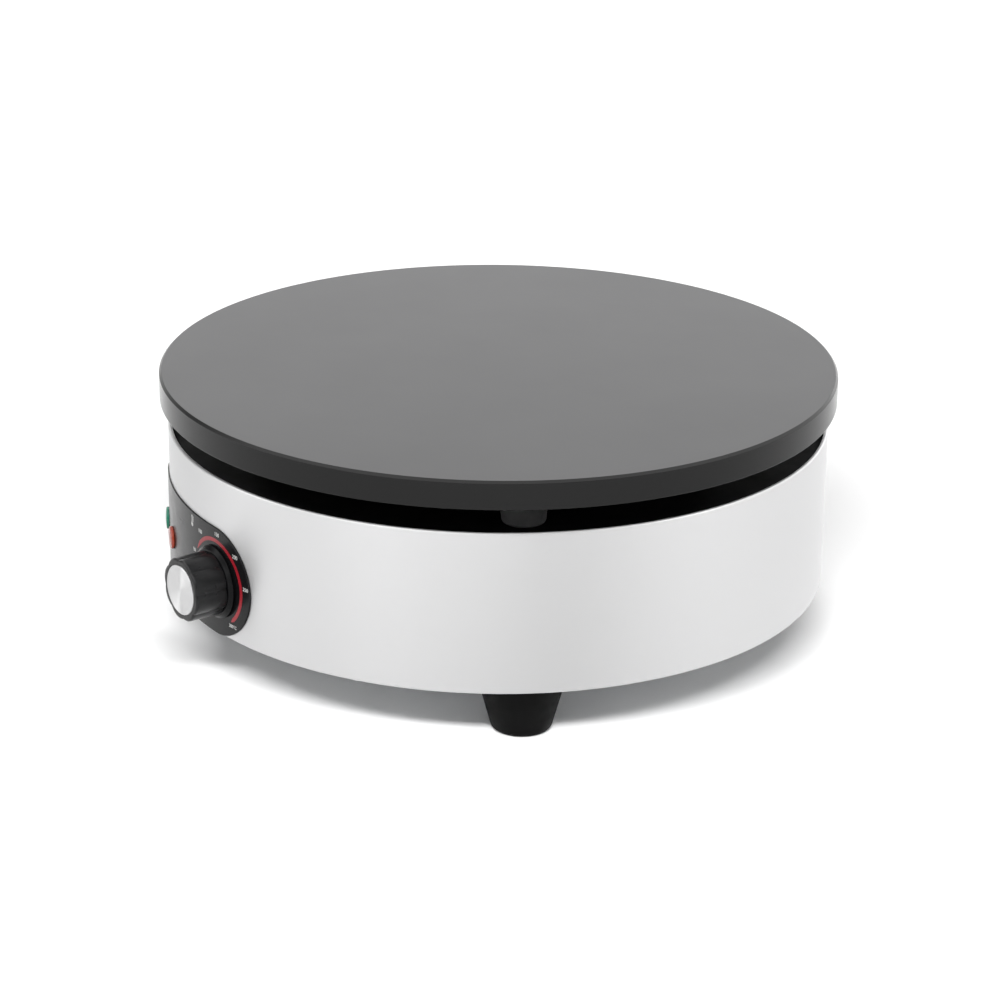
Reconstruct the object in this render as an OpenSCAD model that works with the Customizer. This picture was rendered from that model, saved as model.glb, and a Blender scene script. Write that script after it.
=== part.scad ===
// Electric crepe maker: round cast-iron hotplate on three posts above a
// stainless drum that holds the thermostat, two pilot lamps and the wiring.
// Millimetres. Z is up, the floor is z = 0, and the drum's axis is x = y = 0.
// The thermostat knob faces -Y. Azimuths are measured from -Y towards +X.

/* [Hotplate] */
// Radius of the cooking plate
plate_r = 200; // [198:1:204]
// Thickness of the cooking plate
plate_t = 16.5; // [14:0.5:18]
// Height of the cooking surface above the floor
plate_top = 166.5; // [165:0.5:170]
// Edge rounding of the cooking surface
plate_edge = 1.6; // [1:0.2:3]

/* [Drum] */
// Outer radius of the stainless drum
body_r = 195.5; // [194:0.5:196]
// Sheet thickness of the drum
body_t = 1.2; // [1:0.1:1.4]
// Height of the drum's bottom edge
body_z0 = 40; // [39:0.5:41]
// Height of the drum's rolled top edge
body_z1 = 135; // [134:0.5:136]
// Height of the black deck inside the drum
deck_z = 124.5; // [123.5:0.5:125]

/* [Feet and posts] */
// Radius on which feet and posts stand
foot_pcr = 150; // [148:1:152]
// Radius of a foot where it meets the drum
foot_top_r = 27.5; // [25:0.5:28]
// Radius of a foot at the floor, before its rounding
foot_bot_r = 17.8; // [16:0.2:20]
// Radius of a plate post at the plate
post_r = 14.2; // [13:0.1:15]

/* [Controls] */
// Height of the knob's axis
knob_z = 72; // [71:0.5:73]
// Radius over the knob's lobes
knob_r = 18.6; // [18:0.1:19]
// Number of lobes round the knob
knob_lobes = 8; // [7:1:10]
// How far the knob stands out of the drum
knob_out = 24.4; // [23:0.2:26]
// Radius of the aluminium cap on the knob
cap_r = 14.6; // [13:0.1:15]
// Height of the control panel
panel_h = 65; // [63:0.5:66]
// Azimuth of the heating lamp
lamp1_az = -21.6; // [-23:0.1:-20]
// Azimuth of the mains lamp
lamp2_az = -31; // [-33:0.5:-30]
// Radius of a lamp's lens
lens_r = 6.7; // [6.2:0.1:7]

/* [Cable entry] */
// Radius of the supply cable that the gland grips
cable_r = 4.6; // [4:0.1:5]

/* [Hidden] */

$fn = 96;
plate_z = plate_top - plate_t;          // underside of the plate
body_ri = body_r - body_t;
cover_z = body_z0 - body_t;             // underside of the bottom cover
deck_t = 1.6;
deck_u = deck_z - deck_t;
panel_t = 0.9;
panel_r = body_r + panel_t;             // outer face of the control panel
panel_hr = panel_h/2;
foot_az = [60, 180, 300];
stud_az = [45, 135, 225, 315];
stud_pcr = 98;
screw_az = [30, 90, 150, 210, 270, 330];
screw_pcr = 185;
elem_r = 4.1;
elem_z = plate_z - 0.1 - elem_r;
clamp_z1 = elem_z - elem_r - 0.1;       // top of the clamp disc
clamp_z0 = clamp_z1 - 2;
pan_z1 = clamp_z0 - 5;                  // inside floor of the heat shield
pan_z0 = pan_z1 - 1.4;
pan_r = 130;
bush_y = 184.5;                         // front face of the thermostat case
off_ang = 209;                          // pointer at OFF, from the right, anticlockwise

// ---- helpers -------------------------------------------------------------
function arc(cx, cz, r, a0, a1, n = 8) =
  [for (i = [0:n]) let (a = a0 + (a1 - a0)*i/n) [cx + r*cos(a), cz + r*sin(a)]];
function pol(a, r, z) = [r*sin(a), -r*cos(a), z];
function unit(v) = v/norm(v);
function bez(a, b, c, d, n) =
  [for (i = [0:n]) let (t = i/n, s = 1 - t)
    s*s*s*a + 3*s*s*t*b + 3*s*t*t*c + t*t*t*d];
function tang(P, i) = unit(P[min(i + 1, len(P) - 1)] - P[max(i - 1, 0)]);
function perp(t) = unit(cross(t, abs(t[2]) < 0.8 ? [0, 0, 1] : [1, 0, 0]));

// places children at azimuth a on radius r and height z, seen from outside
module at(a, r = 0, z = 0) rotate([0, 0, a]) translate([0, -r, z]) children();
// child z runs outwards along the radius, x to the right, y up
module outward(a = 0, z = knob_z) rotate([0, 0, a]) translate([0, 0, z]) rotate([90, 0, 0]) children();
module tube(ro, ri, h) difference() { cylinder(r = ro, h = h); translate([0, 0, -1]) cylinder(r = ri, h = h + 2); }
module hexnut(af, h, r) difference() {
  intersection() {
    cylinder(r = af/sqrt(3), h = h, $fn = 6);
    rotate_extrude() polygon([[0, 0], [af/2 + 0.1, 0], [af/2 + 1.2, 0.7], [af/2 + 1.2, h - 0.7], [af/2 + 0.1, h], [0, h]]);
  }
  translate([0, 0, -1]) cylinder(r = r, h = h + 2, $fn = 48);
}
// pan-head screw, head's underside at z = 0, shank down to -l
module screw(r, l, hr, hh) difference() {
  rotate_extrude($fn = 48) polygon(concat([[0, -l], [r - 0.3, -l], [r, -l + 0.4], [r, 0], [hr, 0], [hr, hh*0.45]],
    arc(hr - hh*0.55, hh*0.45, hh*0.55, 0, 90, 4), [[0, hh]]));
  translate([-hr*0.55, -0.5, hh*0.55]) cube([hr*1.1, 1, hh]);
  translate([-0.5, -hr*0.55, hh*0.55]) cube([1, hr*1.1, hh]);
}
// round tube swept along the points P
module sweep(P, r, s = 8) {
  n = len(P);
  F = [for (i = 0, t = tang(P, 0), u = perp(t); i < n;
        i = i + 1, t = i < n ? tang(P, i) : t, u = unit(u - (u*t)*t)) [t, u]];
  pts = [for (i = [0:n - 1]) let (u = F[i][1], w = cross(F[i][0], u))
    for (k = [0:s - 1]) P[i] + r*(cos(360*k/s)*u + sin(360*k/s)*w)];
  polyhedron(pts, concat([[for (k = [0:s - 1]) k]],
    [for (i = [0:n - 2]) for (k = [0:s - 1]) each
      [[(i + 1)*s + (k + 1)%s, i*s + (k + 1)%s, i*s + k], [(i + 1)*s + k, (i + 1)*s + (k + 1)%s, i*s + k]]],
    [[for (k = [0:s - 1]) (n - 1)*s + s - 1 - k]]));
}
module wire(a, da, b, db, r = 1.3, n = 18) sweep(concat([a], bez(a + da*0.12, a + da, b + db, b + db*0.12, n), [b]), r, 8);

// ---- cooking plate and heater ---------------------------------------------
module hotplate() color([0.27, 0.27, 0.28]) difference() {
  rotate_extrude($fn = 180) polygon(concat([[0, plate_z], [plate_r - 1, plate_z], [plate_r, plate_z + 1]],
    arc(plate_r - plate_edge, plate_top - plate_edge, plate_edge, 0, 90, 6), [[0, plate_top]]));
  for (a = foot_az) at(a, foot_pcr, plate_z - 1) cylinder(r = 4, h = 10);
  for (a = stud_az) at(a, stud_pcr, plate_z - 1) cylinder(r = 3, h = 9);
}
module plate_posts() color([0.2, 0.2, 0.21]) for (a = foot_az) at(a, foot_pcr, 0) rotate_extrude()
  polygon(concat([[4.3, deck_z], [post_r - 3.6, deck_z]], arc(post_r - 3.6, deck_z + 2, 2, -90, 0, 4),
    [[post_r, plate_z], [4.3, plate_z]]));
module tie_rods() color([0.75, 0.75, 0.77]) for (a = foot_az) at(a, foot_pcr, 13.5) cylinder(r = 3.95, h = plate_z + 8.5 - 13.5);
module rod_sleeves() color([0.72, 0.72, 0.74]) for (a = foot_az) at(a, foot_pcr, body_z0) tube(7, 4.3, deck_u - body_z0);

elem_pts = concat(
  [pol(190, 115, pan_z0 - 1.5), pol(190, 115, elem_z - 12)],
  [for (i = [0:4]) let (t = 90*i/4) pol(190 + (9 - 9*cos(t))*0.5, 115, elem_z - 9 + 9*sin(t))],
  [for (a = [199:6:518]) pol(a, 115, elem_z)],
  [for (i = [0:6]) let (t = 180*i/6) pol(521 + 9*sin(t), 97.5 + 17.5*cos(t), elem_z)],
  [for (a = [516:-6:204]) pol(a, 80, elem_z)],
  [for (i = [0:6]) let (t = 180*i/6) pol(201 - 14*sin(t), 62.5 + 17.5*cos(t), elem_z)],
  [for (a = [206:8:494]) pol(a, 45, elem_z)],
  [for (i = [0:4]) let (t = 90*i/4) pol(497 + 12*sin(t), 45, elem_z - 9 + 9*cos(t))],
  [pol(509, 45, elem_z - 12), pol(509, 45, pan_z0 - 1.5)]);
module heating_element() color([0.35, 0.33, 0.32]) {
  sweep(elem_pts, elem_r, 12);
  for (p = [pol(190, 115, 0), pol(149, 45, 0)]) translate([p[0], p[1], 108]) cylinder(r = 1.8, h = pan_z0 - 107, $fn = 32);
}
module terminal_beads() color([0.93, 0.92, 0.88]) for (p = [pol(190, 115, 0), pol(149, 45, 0)])
  translate([p[0], p[1], deck_u - 5]) difference() {
    union() { cylinder(r = 6.8, h = deck_t + 5 + 2); translate([0, 0, 0]) cylinder(r = 9.5, h = 5); }
    translate([0, 0, -1]) cylinder(r = 1.9, h = 20, $fn = 32);
  }
module element_clamp() color([0.6, 0.6, 0.6]) difference() {
  translate([0, 0, clamp_z0]) cylinder(r = 125, h = 2);
  translate([0, 0, clamp_z0 - 1]) cylinder(r = 26, h = 4);
  for (a = stud_az) at(a, stud_pcr, clamp_z0 - 1) cylinder(r = 3.3, h = 4);
  for (p = [pol(190, 115, clamp_z0 - 1), pol(149, 45, clamp_z0 - 1)]) translate(p) cylinder(r = 7.4, h = 4);
  for (a = [0, 90, 180, 270]) at(a, 62, clamp_z0 - 1) if (a != 0) cylinder(r = 6, h = 4);
  at(38, 62, clamp_z0 - 1) cylinder(r = 5, h = 4);
}
module clamp_studs() color([0.75, 0.75, 0.77]) for (a = stud_az) at(a, stud_pcr, pan_z0 - 7.2) cylinder(r = 2.95, h = plate_z + 7.5 - pan_z0 + 7.2);
module stud_washers() color([0.8, 0.8, 0.8]) for (a = stud_az) at(a, stud_pcr, pan_z0 - 1.2) tube(6, 3.2, 1.2);
module stud_nuts() color([0.8, 0.8, 0.8]) for (a = stud_az) at(a, stud_pcr, pan_z0 - 6.2) hexnut(10, 5, 3);
module insulation_disc() color([0.93, 0.91, 0.85]) difference() {
  translate([0, 0, pan_z1]) cylinder(r = 126.5, h = clamp_z0 - pan_z1);
  translate([0, 0, pan_z1 - 1]) for (a = stud_az) at(a, stud_pcr) cylinder(r = 3.3, h = 8);
  for (p = [pol(190, 115, pan_z1 - 1), pol(149, 45, pan_z1 - 1)]) translate(p) cylinder(r = 5, h = 8);
  at(38, 62, pan_z1 - 1) cylinder(r = 3, h = 8);
}
module heat_shield() color([0.12, 0.12, 0.12]) difference() {
  rotate_extrude($fn = 144) polygon(concat([[0, pan_z0]], arc(pan_r - 3, pan_z0 + 3, 3, -90, 0, 5),
    [[pan_r, plate_z], [pan_r - 1.4, plate_z]], arc(pan_r - 3, pan_z0 + 3, 1.6, 0, -90, 5), [[0, pan_z1]]));
  translate([0, 0, pan_z0 - 1]) for (a = stud_az) at(a, stud_pcr) cylinder(r = 3.3, h = 4);
  for (p = [pol(190, 115, pan_z0 - 1), pol(149, 45, pan_z0 - 1)]) translate(p) cylinder(r = 5, h = 4);
  at(38, 62, pan_z0 - 1) cylinder(r = 3, h = 4);
}
module sensor_bulb() color([0.72, 0.45, 0.3]) translate([-33, -62, plate_z - 3.4]) rotate([0, 90, 0])
  rotate_extrude($fn = 48) polygon([[0, 0], [1.6, 0], [3, 2], [3, 62], [1.8, 66], [0, 66]]);
module bulb_clip() color([0.78, 0.78, 0.8]) difference() {
  translate([-9, -67, clamp_z1]) cube([18, 10, 4.2]);
  translate([-10, -62, plate_z - 3.4]) rotate([0, 90, 0]) cylinder(r = 3.05, h = 20, $fn = 48);
  translate([-5, -68, clamp_z1 + 0.8]) cube([10, 12, 6]);
}
cap_p = pol(38, 62, 0);
module capillary_tube() color([0.72, 0.45, 0.3]) sweep(concat(
  bez([33.1, -62, plate_z - 3.4], [39, -62, plate_z - 3.4], [cap_p[0] + 3, cap_p[1] - 4, plate_z - 4.2], [cap_p[0] + 0.6, cap_p[1] - 1, plate_z - 6.4], 8),
  [[cap_p[0], cap_p[1], plate_z - 9], [cap_p[0], cap_p[1], plate_z - 14]],
  [[cap_p[0], cap_p[1], deck_u - 3]],
  bez([cap_p[0], cap_p[1], deck_u - 6], [cap_p[0], cap_p[1], 95], [6, -90, 112], [6, -130, 111], 10),
  bez([6, -140, 110], [6, -158, 108], [6, -168, 104], [6, -168, knob_z + 21.3], 8)), 0.9, 8);

// ---- drum -------------------------------------------------------------------
module top_deck() color([0.06, 0.06, 0.06]) difference() {
  rotate_extrude($fn = 180) polygon(concat([[0, deck_u], [body_ri - 2.9, deck_u], [body_ri - 1.6, deck_u - 1.4], [body_ri - 1.6, deck_u - 10], [body_ri - 0.05, deck_u - 10]],
    arc(body_ri - 2.05, deck_z - 2, 2, 0, 90, 5), [[0, deck_z]]));
  for (a = foot_az) at(a, foot_pcr, deck_u - 1) cylinder(r = 4.3, h = 4);
  for (p = [pol(190, 115, deck_u - 1), pol(149, 45, deck_u - 1)]) translate(p) cylinder(r = 7, h = 4);
  at(38, 62, deck_u - 1) cylinder(r = 4, h = 4);
}
module body_shell() color([0.83, 0.83, 0.84]) difference() {
  rotate_extrude($fn = 180) polygon(concat([[screw_pcr - 8, body_z0]], arc(body_r - 1.6, body_z0 + 1.6, 1.6, -90, 0, 4),
    arc(body_r - body_t, body_z1 - body_t, body_t, 0, 180, 8),
    [[body_ri - body_t, body_z1 - 7.5], [body_ri, body_z1 - 7.5], [body_ri, body_z0 + body_t + 0.6], [body_ri - 0.6, body_z0 + body_t], [screw_pcr - 8, body_z0 + body_t]]));
  outward() cylinder(r = 6, h = 230);
  for (a = [lamp1_az, lamp2_az]) outward(a) cylinder(r = 5.6, h = 230);
  outward(180) cylinder(r = 10.2, h = 230);
  for (a = screw_az) at(a, screw_pcr, body_z0 - 1) cylinder(r = 2.7, h = 4);
}
module bottom_cover() color([0.55, 0.55, 0.56]) difference() {
  translate([0, 0, cover_z]) cylinder(r = body_r - 3.5, h = body_t, $fn = 180);
  for (a = screw_az) at(a, screw_pcr, cover_z - 1) cylinder(r = 2.3, h = 4);
  for (a = foot_az) at(a, foot_pcr, cover_z - 1) cylinder(r = 4.3, h = 4);
  for (x = [-14, 14]) translate([x, -170, cover_z - 1]) cylinder(r = 2.1, h = 4);
  for (s = [-1, 1], i = [-3:3]) translate([s*62 - 18, i*13 - 1.5, cover_z - 1]) {
    cube([36, 3, 4]);
    for (x = [0, 36]) translate([x, 1.5, 0]) cylinder(r = 1.5, h = 4, $fn = 32);
  }
}
module rivet_nuts() color([0.7, 0.7, 0.72]) for (a = screw_az) at(a, screw_pcr, body_z0) difference() {
  union() { translate([0, 0, 0.1]) cylinder(r = 2.65, h = 6); translate([0, 0, body_t]) cylinder(r = 4, h = 4.9); }
  translate([0, 0, -1]) cylinder(r = 2.05, h = 9);
}
module cover_screws() color([0.78, 0.78, 0.8]) for (a = screw_az) at(a, screw_pcr, cover_z) rotate([180, 0, 0]) screw(2, 7, 4, 2.3);
module foot(a) color([0.05, 0.05, 0.05]) at(a, foot_pcr) difference() {
  rotate_extrude($fn = 120) polygon(concat([[0, 0]], arc(foot_bot_r - 3.5, 3.5, 3.5, -90, -14, 8),
    [[foot_top_r - 0.6, cover_z - 2.2]], arc(foot_top_r - 1.2, cover_z - 1.2, 1.2, 0, 90, 4), [[0, cover_z]]));
  translate([0, 0, 12]) cylinder(r = 7.05, h = 40);
}
module foot_right() foot(60);
module foot_rear() foot(180);
module foot_left() foot(300);
module foot_inserts() color([0.8, 0.8, 0.8]) for (a = foot_az) at(a, foot_pcr, 12) difference() {
  union() { cylinder(r = 7, h = cover_z - 12); }
  translate([0, 0, 1.5]) cylinder(r = 4, h = 40);
}

// ---- control panel, knob and lamps -------------------------------------------
// the panel is a band wrapped on the drum, with a round end about each of its outer axes
module panel_end(a) outward(a, body_z0 + panel_hr) translate([0, 0, 150]) cylinder(r = panel_hr + 0.4, h = 80);
module control_panel() color([0.12, 0.12, 0.13]) difference() {
  intersection() {
    translate([0, 0, body_z0]) tube(panel_r, body_r + 0.02, panel_h);
    union() {
      intersection() {
        translate([-260, -260, body_z0 - 5]) cube([260, 260, panel_h + 10]);
        rotate([0, 0, lamp2_az]) translate([0, -260, body_z0 - 5]) cube([260, 260, panel_h + 10]);
      }
      panel_end(0);
      panel_end(lamp2_az);
    }
  }
  outward() cylinder(r = 5.6, h = 230);
  for (a = [lamp1_az, lamp2_az]) outward(a) cylinder(r = 5.6, h = 230);
}
module lens(a, c) color(c) outward(a) rotate_extrude() polygon(concat([[0, body_ri - 1.4], [5.3, body_ri - 1.4], [5.3, panel_r + 0.02], [lens_r, panel_r + 0.02]],
  arc(lens_r - 0.7, panel_r + 1.1, 0.7, 0, 60, 4), arc(0, panel_r + 2.3 - 24, 24, 75, 90, 4)));
module green_lens() lens(lamp2_az, [0.05, 0.5, 0.35]);
module orange_lens() lens(lamp1_az, [0.8, 0.22, 0.08]);
module lamp_bodies() color([0.9, 0.9, 0.86]) for (a = [lamp1_az, lamp2_az]) outward(a) {
  translate([0, 0, body_ri - 20]) cylinder(r = 5.2, h = 18.5);
  for (x = [-2.6, 1.8]) translate([x, -1.4, body_ri - 27]) cube([0.8, 2.8, 8]);
}
module lamp_clips() color([0.75, 0.75, 0.78]) for (a = [lamp1_az, lamp2_az]) outward(a) translate([0, 0, body_ri - 4.2]) {
  tube(8.6, 5.25, 1);
  difference() { cylinder(r = 7.4, h = 3.9); translate([0, 0, -1]) cylinder(r = 6.6, h = 6); translate([-10, -2, -1]) cube([20, 4, 6]); }
}

module thermostat_case() color([0.92, 0.9, 0.84]) difference() {
  outward() union() {
    translate([-22, -19, bush_y - 25]) linear_extrude(25) polygon(concat(arc(3, 3, 3, 180, 270, 4), arc(41, 3, 3, 270, 360, 4), arc(41, 35, 3, 0, 90, 4), arc(3, 35, 3, 90, 180, 4)));
    translate([-3, 0, bush_y - 20]) cube([18, 21, 6]);
  }
  outward() translate([0, 0, bush_y - 15]) cylinder(r = 5.6, h = 30);
  outward() for (x = [-14, 14]) translate([x, 0, bush_y - 8]) cylinder(r = 2.05, h = 10);
}
module thermostat_tabs() color([0.85, 0.7, 0.4]) outward() for (x = [-14, -5, 5, 14]) translate([x - 3.15, x > 0 ? 6 : -10, bush_y - 33]) cube([6.3, 0.8, 8]);
module thermostat_bush() color([0.8, 0.65, 0.35]) outward() translate([0, 0, bush_y - 8.5]) tube(5.5, 3.05, 17);
module thermostat_bracket() color([0.72, 0.72, 0.74]) difference() {
  union() {
    translate([-28, -bush_y - 2, body_z0 + body_t + 0.1]) cube([56, 2, knob_z + 24 - body_z0 - body_t - 0.1]);
    translate([-28, -bush_y - 2, body_z0 + body_t + 0.1]) cube([56, 24, 1.6]);
    for (x = [-14, 14]) translate([x, -170, body_z0]) cylinder(r = 5, h = 2);
  }
  outward() cylinder(r = 5.6, h = 230);
  outward() for (x = [-14, 14]) translate([x, 0, 0]) cylinder(r = 2.1, h = 230);
  for (x = [-14, 14]) translate([x, -170, body_z0 - 1]) cylinder(r = 2.1, h = 5);
  for (s = [-1, 1]) translate([s*28, -bush_y - 3, knob_z + 24]) rotate([0, 45, 0]) cube([12, 8, 12], center = true);
}
module thermostat_screws() color([0.78, 0.78, 0.8]) outward() for (x = [-14, 14]) translate([x, 0, bush_y + 2]) screw(2, 9, 3.6, 2.2);
module bracket_screws() color([0.78, 0.78, 0.8]) for (x = [-14, 14]) translate([x, -170, cover_z]) rotate([180, 0, 0]) screw(2.05, 4.1, 4, 2.3);
module knob_shaft() color([0.7, 0.7, 0.72]) outward() difference() {
  union() {
    translate([0, 0, bush_y - 10]) cylinder(r = 3, h = panel_r + 16 - bush_y + 10);
    translate([0, 0, bush_y - 10.9]) cylinder(r = 4.9, h = 2);
  }
  translate([-4, -5.5, panel_r + 0.5]) cube([8, 4, 40]);
}
module knob_lobe_prism(z0, h) translate([0, 0, z0]) for (i = [0:knob_lobes - 1]) rotate(off_ang + 360/knob_lobes*i)
  translate([knob_r - 10.4, 0, 0]) cylinder(r = 10.4, h = h);
knob_f = body_r + knob_out - 0.3;       // front face of the knob's ring
module knob_body() color([0.09, 0.09, 0.1]) outward() difference() {
  intersection() {
    knob_lobe_prism(panel_r + 3.3, knob_f - panel_r - 3.3);
    rotate_extrude() polygon(concat([[0, panel_r + 3.3], [knob_r + 2, panel_r + 3.3], [knob_r + 0.1, knob_f - 5]], arc(knob_r - 1.5, knob_f - 1.5, 1.5, 0, 90, 5), [[0, knob_f]]));
  }
  translate([0, 0, knob_f - 1.6]) cylinder(r = cap_r + 0.1, h = 3);
  translate([0, 0, panel_r]) cylinder(r = 6.1, h = knob_f - panel_r - 3);
  translate([0, 0, panel_r + 3.2]) difference() { cylinder(r = 14, h = 14); translate([0, 0, -1]) cylinder(r = 8, h = 16); }
  translate([0, 0, panel_r + 9]) rotate([90, 0, 0]) cylinder(r = 1.7, h = 30, $fn = 32);
}
module knob_skirt() color([0.07, 0.07, 0.08]) outward() difference() {
  rotate_extrude() polygon(concat([[14, panel_r + 0.6], [20.9, panel_r + 0.6]], arc(20.9, panel_r + 1.1, 0.5, -90, 60, 5),
    [[19.4, panel_r + 3.3], [14, panel_r + 3.3]]));
  rotate(off_ang) translate([16, -0.85, panel_r + 2.2]) cube([8, 1.7, 4]);
}
module knob_pointer() color([0.95, 0.95, 0.95]) outward() intersection() {
  rotate(off_ang) translate([16.05, -0.8, panel_r + 2.25]) cube([8, 1.6, 2]);
  rotate_extrude() polygon([[14, panel_r], [21.4, panel_r + 1.45], [19.55, panel_r + 3.28], [19.5, panel_r + 3.28], [14, panel_r + 3.28]]);
}
module knob_cap() color([0.85, 0.85, 0.86]) outward() rotate_extrude() polygon([[0, knob_f - 1.6], [cap_r, knob_f - 1.6], [cap_r, knob_f + 0.05], [cap_r - 0.35, knob_f + 0.3], [0, knob_f + 0.3]]);
module knob_insert() color([0.8, 0.65, 0.35]) outward() difference() {
  translate([0, 0, panel_r + 1]) cylinder(r = 6.05, h = 17);
  difference() { translate([0, 0, panel_r - 1]) cylinder(r = 3.03, h = 17.5); translate([-4, -5.55, panel_r]) cube([8, 4, 40]); }
  translate([0, 0, panel_r + 9]) rotate([90, 0, 0]) cylinder(r = 1.5, h = 10, $fn = 32);
}
module knob_grub_screw() color([0.3, 0.3, 0.3]) outward() translate([0, 0, panel_r + 9]) rotate([90, 0, 0]) difference() {
  translate([0, 0, 1.6]) cylinder(r = 1.45, h = 6, $fn = 32);
  translate([0, 0, 6]) cylinder(r = 0.8, h = 3, $fn = 6);
}

// ---- electrical parts ---------------------------------------------------------
module thermal_cutout() color([0.9, 0.88, 0.82]) translate([-60, -20, 0]) {
  difference() {
    union() {
      translate([0, 0, deck_u - 2]) cylinder(r = 8, h = 2);
      translate([-15, -4, deck_u - 3]) cube([30, 8, 1]);
      translate([0, 0, deck_u - 14]) cylinder(r = 8.5, h = 12);
    }
    for (x = [-12, 12]) translate([x, 0, deck_u - 4]) cylinder(r = 1.6, h = 6, $fn = 32);
  }
  for (x = [-5, 5]) translate([x - 0.4, -3.15, deck_u - 22]) cube([0.8, 6.3, 9]);
}
module cutout_screws() color([0.78, 0.78, 0.8]) for (x = [-12, 12]) translate([-60 + x, -20, deck_u - 3]) rotate([180, 0, 0]) screw(1.5, 3, 2.8, 1.8);
module terminal_block() color([0.92, 0.92, 0.9]) difference() {
  translate([-54, 118, body_z0]) union() { cube([48, 20, 6]); for (i = [0:2]) translate([4 + i*14, 1, 0]) cube([12, 18, 17]); }
  for (i = [0:2]) translate([-44 + i*14, 128, body_z0 + 9]) rotate([90, 0, 0]) cylinder(r = 2.2, h = 30, center = true, $fn = 32);
  for (i = [0:2], y = [123.5, 132.5]) translate([-44 + i*14, y, body_z0 + 9]) cylinder(r = 1.9, h = 12, $fn = 32);
}
module terminal_screws() color([0.85, 0.75, 0.45]) for (i = [0:2], y = [123.5, 132.5]) translate([-44 + i*14, y, body_z0 + 11.3]) difference() {
  cylinder(r = 1.8, h = 4.5, $fn = 32);
  translate([-2, -0.3, 3.5]) cube([4, 0.6, 2]);
}
module earth_stud() color([0.85, 0.7, 0.4]) translate([48, 128, body_z0]) { cylinder(r = 5, h = 1); cylinder(r = 2.5, h = 16); }
module earth_nut() color([0.85, 0.7, 0.4]) translate([48, 128, body_z0 + 4.4]) hexnut(8, 4, 2.55);
module gland_body() color([0.1, 0.1, 0.1]) outward(180) difference() {
  union() {
    translate([0, 0, body_ri - 11]) cylinder(r = 9.9, h = 24);
    translate([0, 0, body_r + 0.1]) intersection() { cylinder(r = 14, h = 5, $fn = 6); cylinder(r = 13.2, h = 5); }
  }
  translate([0, 0, body_ri - 12]) cylinder(r = 6, h = 40);
}
module gland_seal() color([0.16, 0.16, 0.16]) outward(180) difference() {
  rotate_extrude() polygon([[cable_r, body_r + 12.2], [7.4, body_r + 12.2], [7.4, body_r + 15], [6.9, body_r + 22.2], [cable_r, body_r + 22.2]]);
}
module gland_dome_nut() color([0.1, 0.1, 0.1]) outward(180) difference() {
  union() {
    translate([0, 0, body_r + 5.3]) intersection() { cylinder(r = 13.4, h = 9.5, $fn = 6); cylinder(r = 12.8, h = 9.5); }
    rotate_extrude() polygon(concat([[0, body_r + 14], [11.4, body_r + 14]], arc(4.4, body_r + 17.4, 7, 0, 90, 8), [[0, body_r + 24.4]]));
  }
  translate([0, 0, body_r + 4]) cylinder(r = 9.95, h = 8.1);
  translate([0, 0, body_r + 12]) cylinder(r = 7.5, h = 10.2);
  translate([0, 0, body_r + 20]) cylinder(r = 5.2, h = 6);
}
module gland_lock_nut() color([0.1, 0.1, 0.1]) outward(180) translate([0, 0, body_ri - 5.8]) hexnut(25, 5, 9.95);

module live_wire() color([0.35, 0.2, 0.1]) wire([-3, 180, 74], [-14, -18, 0], [-44, 138.2, body_z0 + 9], [0, 26, 0]);
module neutral_wire() color([0.1, 0.25, 0.6]) wire([0, 180, 69], [-15, -14, -4], [-30, 138.2, body_z0 + 9], [0, 22, 0]);
module earth_wire() color([0.3, 0.55, 0.15])
  wire([3.4, 180, 73.5], [12, -24, 0], [48, 140.2, body_z0 + 2.6], [2, 26, 4]);
module earth_lug() color([0.8, 0.8, 0.8]) translate([48, 128, body_z0 + 1.1]) difference() {
  union() { cylinder(r = 5, h = 1.1); translate([-1.6, 0, 0]) cube([3.2, 8, 1.1]); translate([-2, 7.5, 0]) cube([4, 4.5, 2.9]); }
  translate([0, 0, -1]) cylinder(r = 2.6, h = 4, $fn = 48);
}
module element_wires() color([0.85, 0.85, 0.8]) {
  wire([pol(190, 115, 0)[0], pol(190, 115, 0)[1], 107.6], [0, 0, -30], [-16, 117.8, body_z0 + 9], [0, -30, 6], 1.3, 20);
  wire([pol(149, 45, 0)[0], pol(149, 45, 0)[1], 107.6], [0, 0, -40], [-5, -150.6, knob_z - 9.6], [0, 60, -6], 1.3, 24);
  wire([-30, 117.8, body_z0 + 9], [6, -70, 4], [-14, -150.6, knob_z - 9.6], [0, 60, -14], 1.3, 26);
}
module lamp_wires() color([0.85, 0.3, 0.2]) for (a = [lamp1_az, lamp2_az]) {
  wire(pol(a, body_ri - 27.6, knob_z) + [1.5*cos(a) + 0.6, 1.5*sin(a), 0], pol(a, -26, 0), [5, -150.6, knob_z + 6.4] + (a == lamp2_az ? [9, 0, 0] : [0, 0, 0]), [0, 30, 16], 0.9, 18);
}

hotplate();
plate_posts();
tie_rods();
rod_sleeves();
heating_element();
element_clamp();
clamp_studs();
stud_washers();
stud_nuts();
insulation_disc();
heat_shield();
sensor_bulb();
bulb_clip();
capillary_tube();
top_deck();
body_shell();
bottom_cover();
rivet_nuts();
cover_screws();
foot_right();
foot_rear();
foot_left();
foot_inserts();
control_panel();
thermostat_case();
thermostat_tabs();
thermostat_bush();
thermostat_bracket();
thermostat_screws();
bracket_screws();
thermal_cutout();
cutout_screws();
terminal_block();
terminal_screws();
earth_stud();
earth_lug();
earth_nut();
green_lens();
orange_lens();
lamp_bodies();
lamp_clips();
gland_body();
gland_seal();
gland_dome_nut();
gland_lock_nut();
live_wire();
neutral_wire();
earth_wire();
element_wires();
lamp_wires();
terminal_beads();
knob_shaft();
knob_insert();
knob_skirt();
knob_body();
knob_cap();
knob_grub_screw();
knob_pointer();
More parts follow.
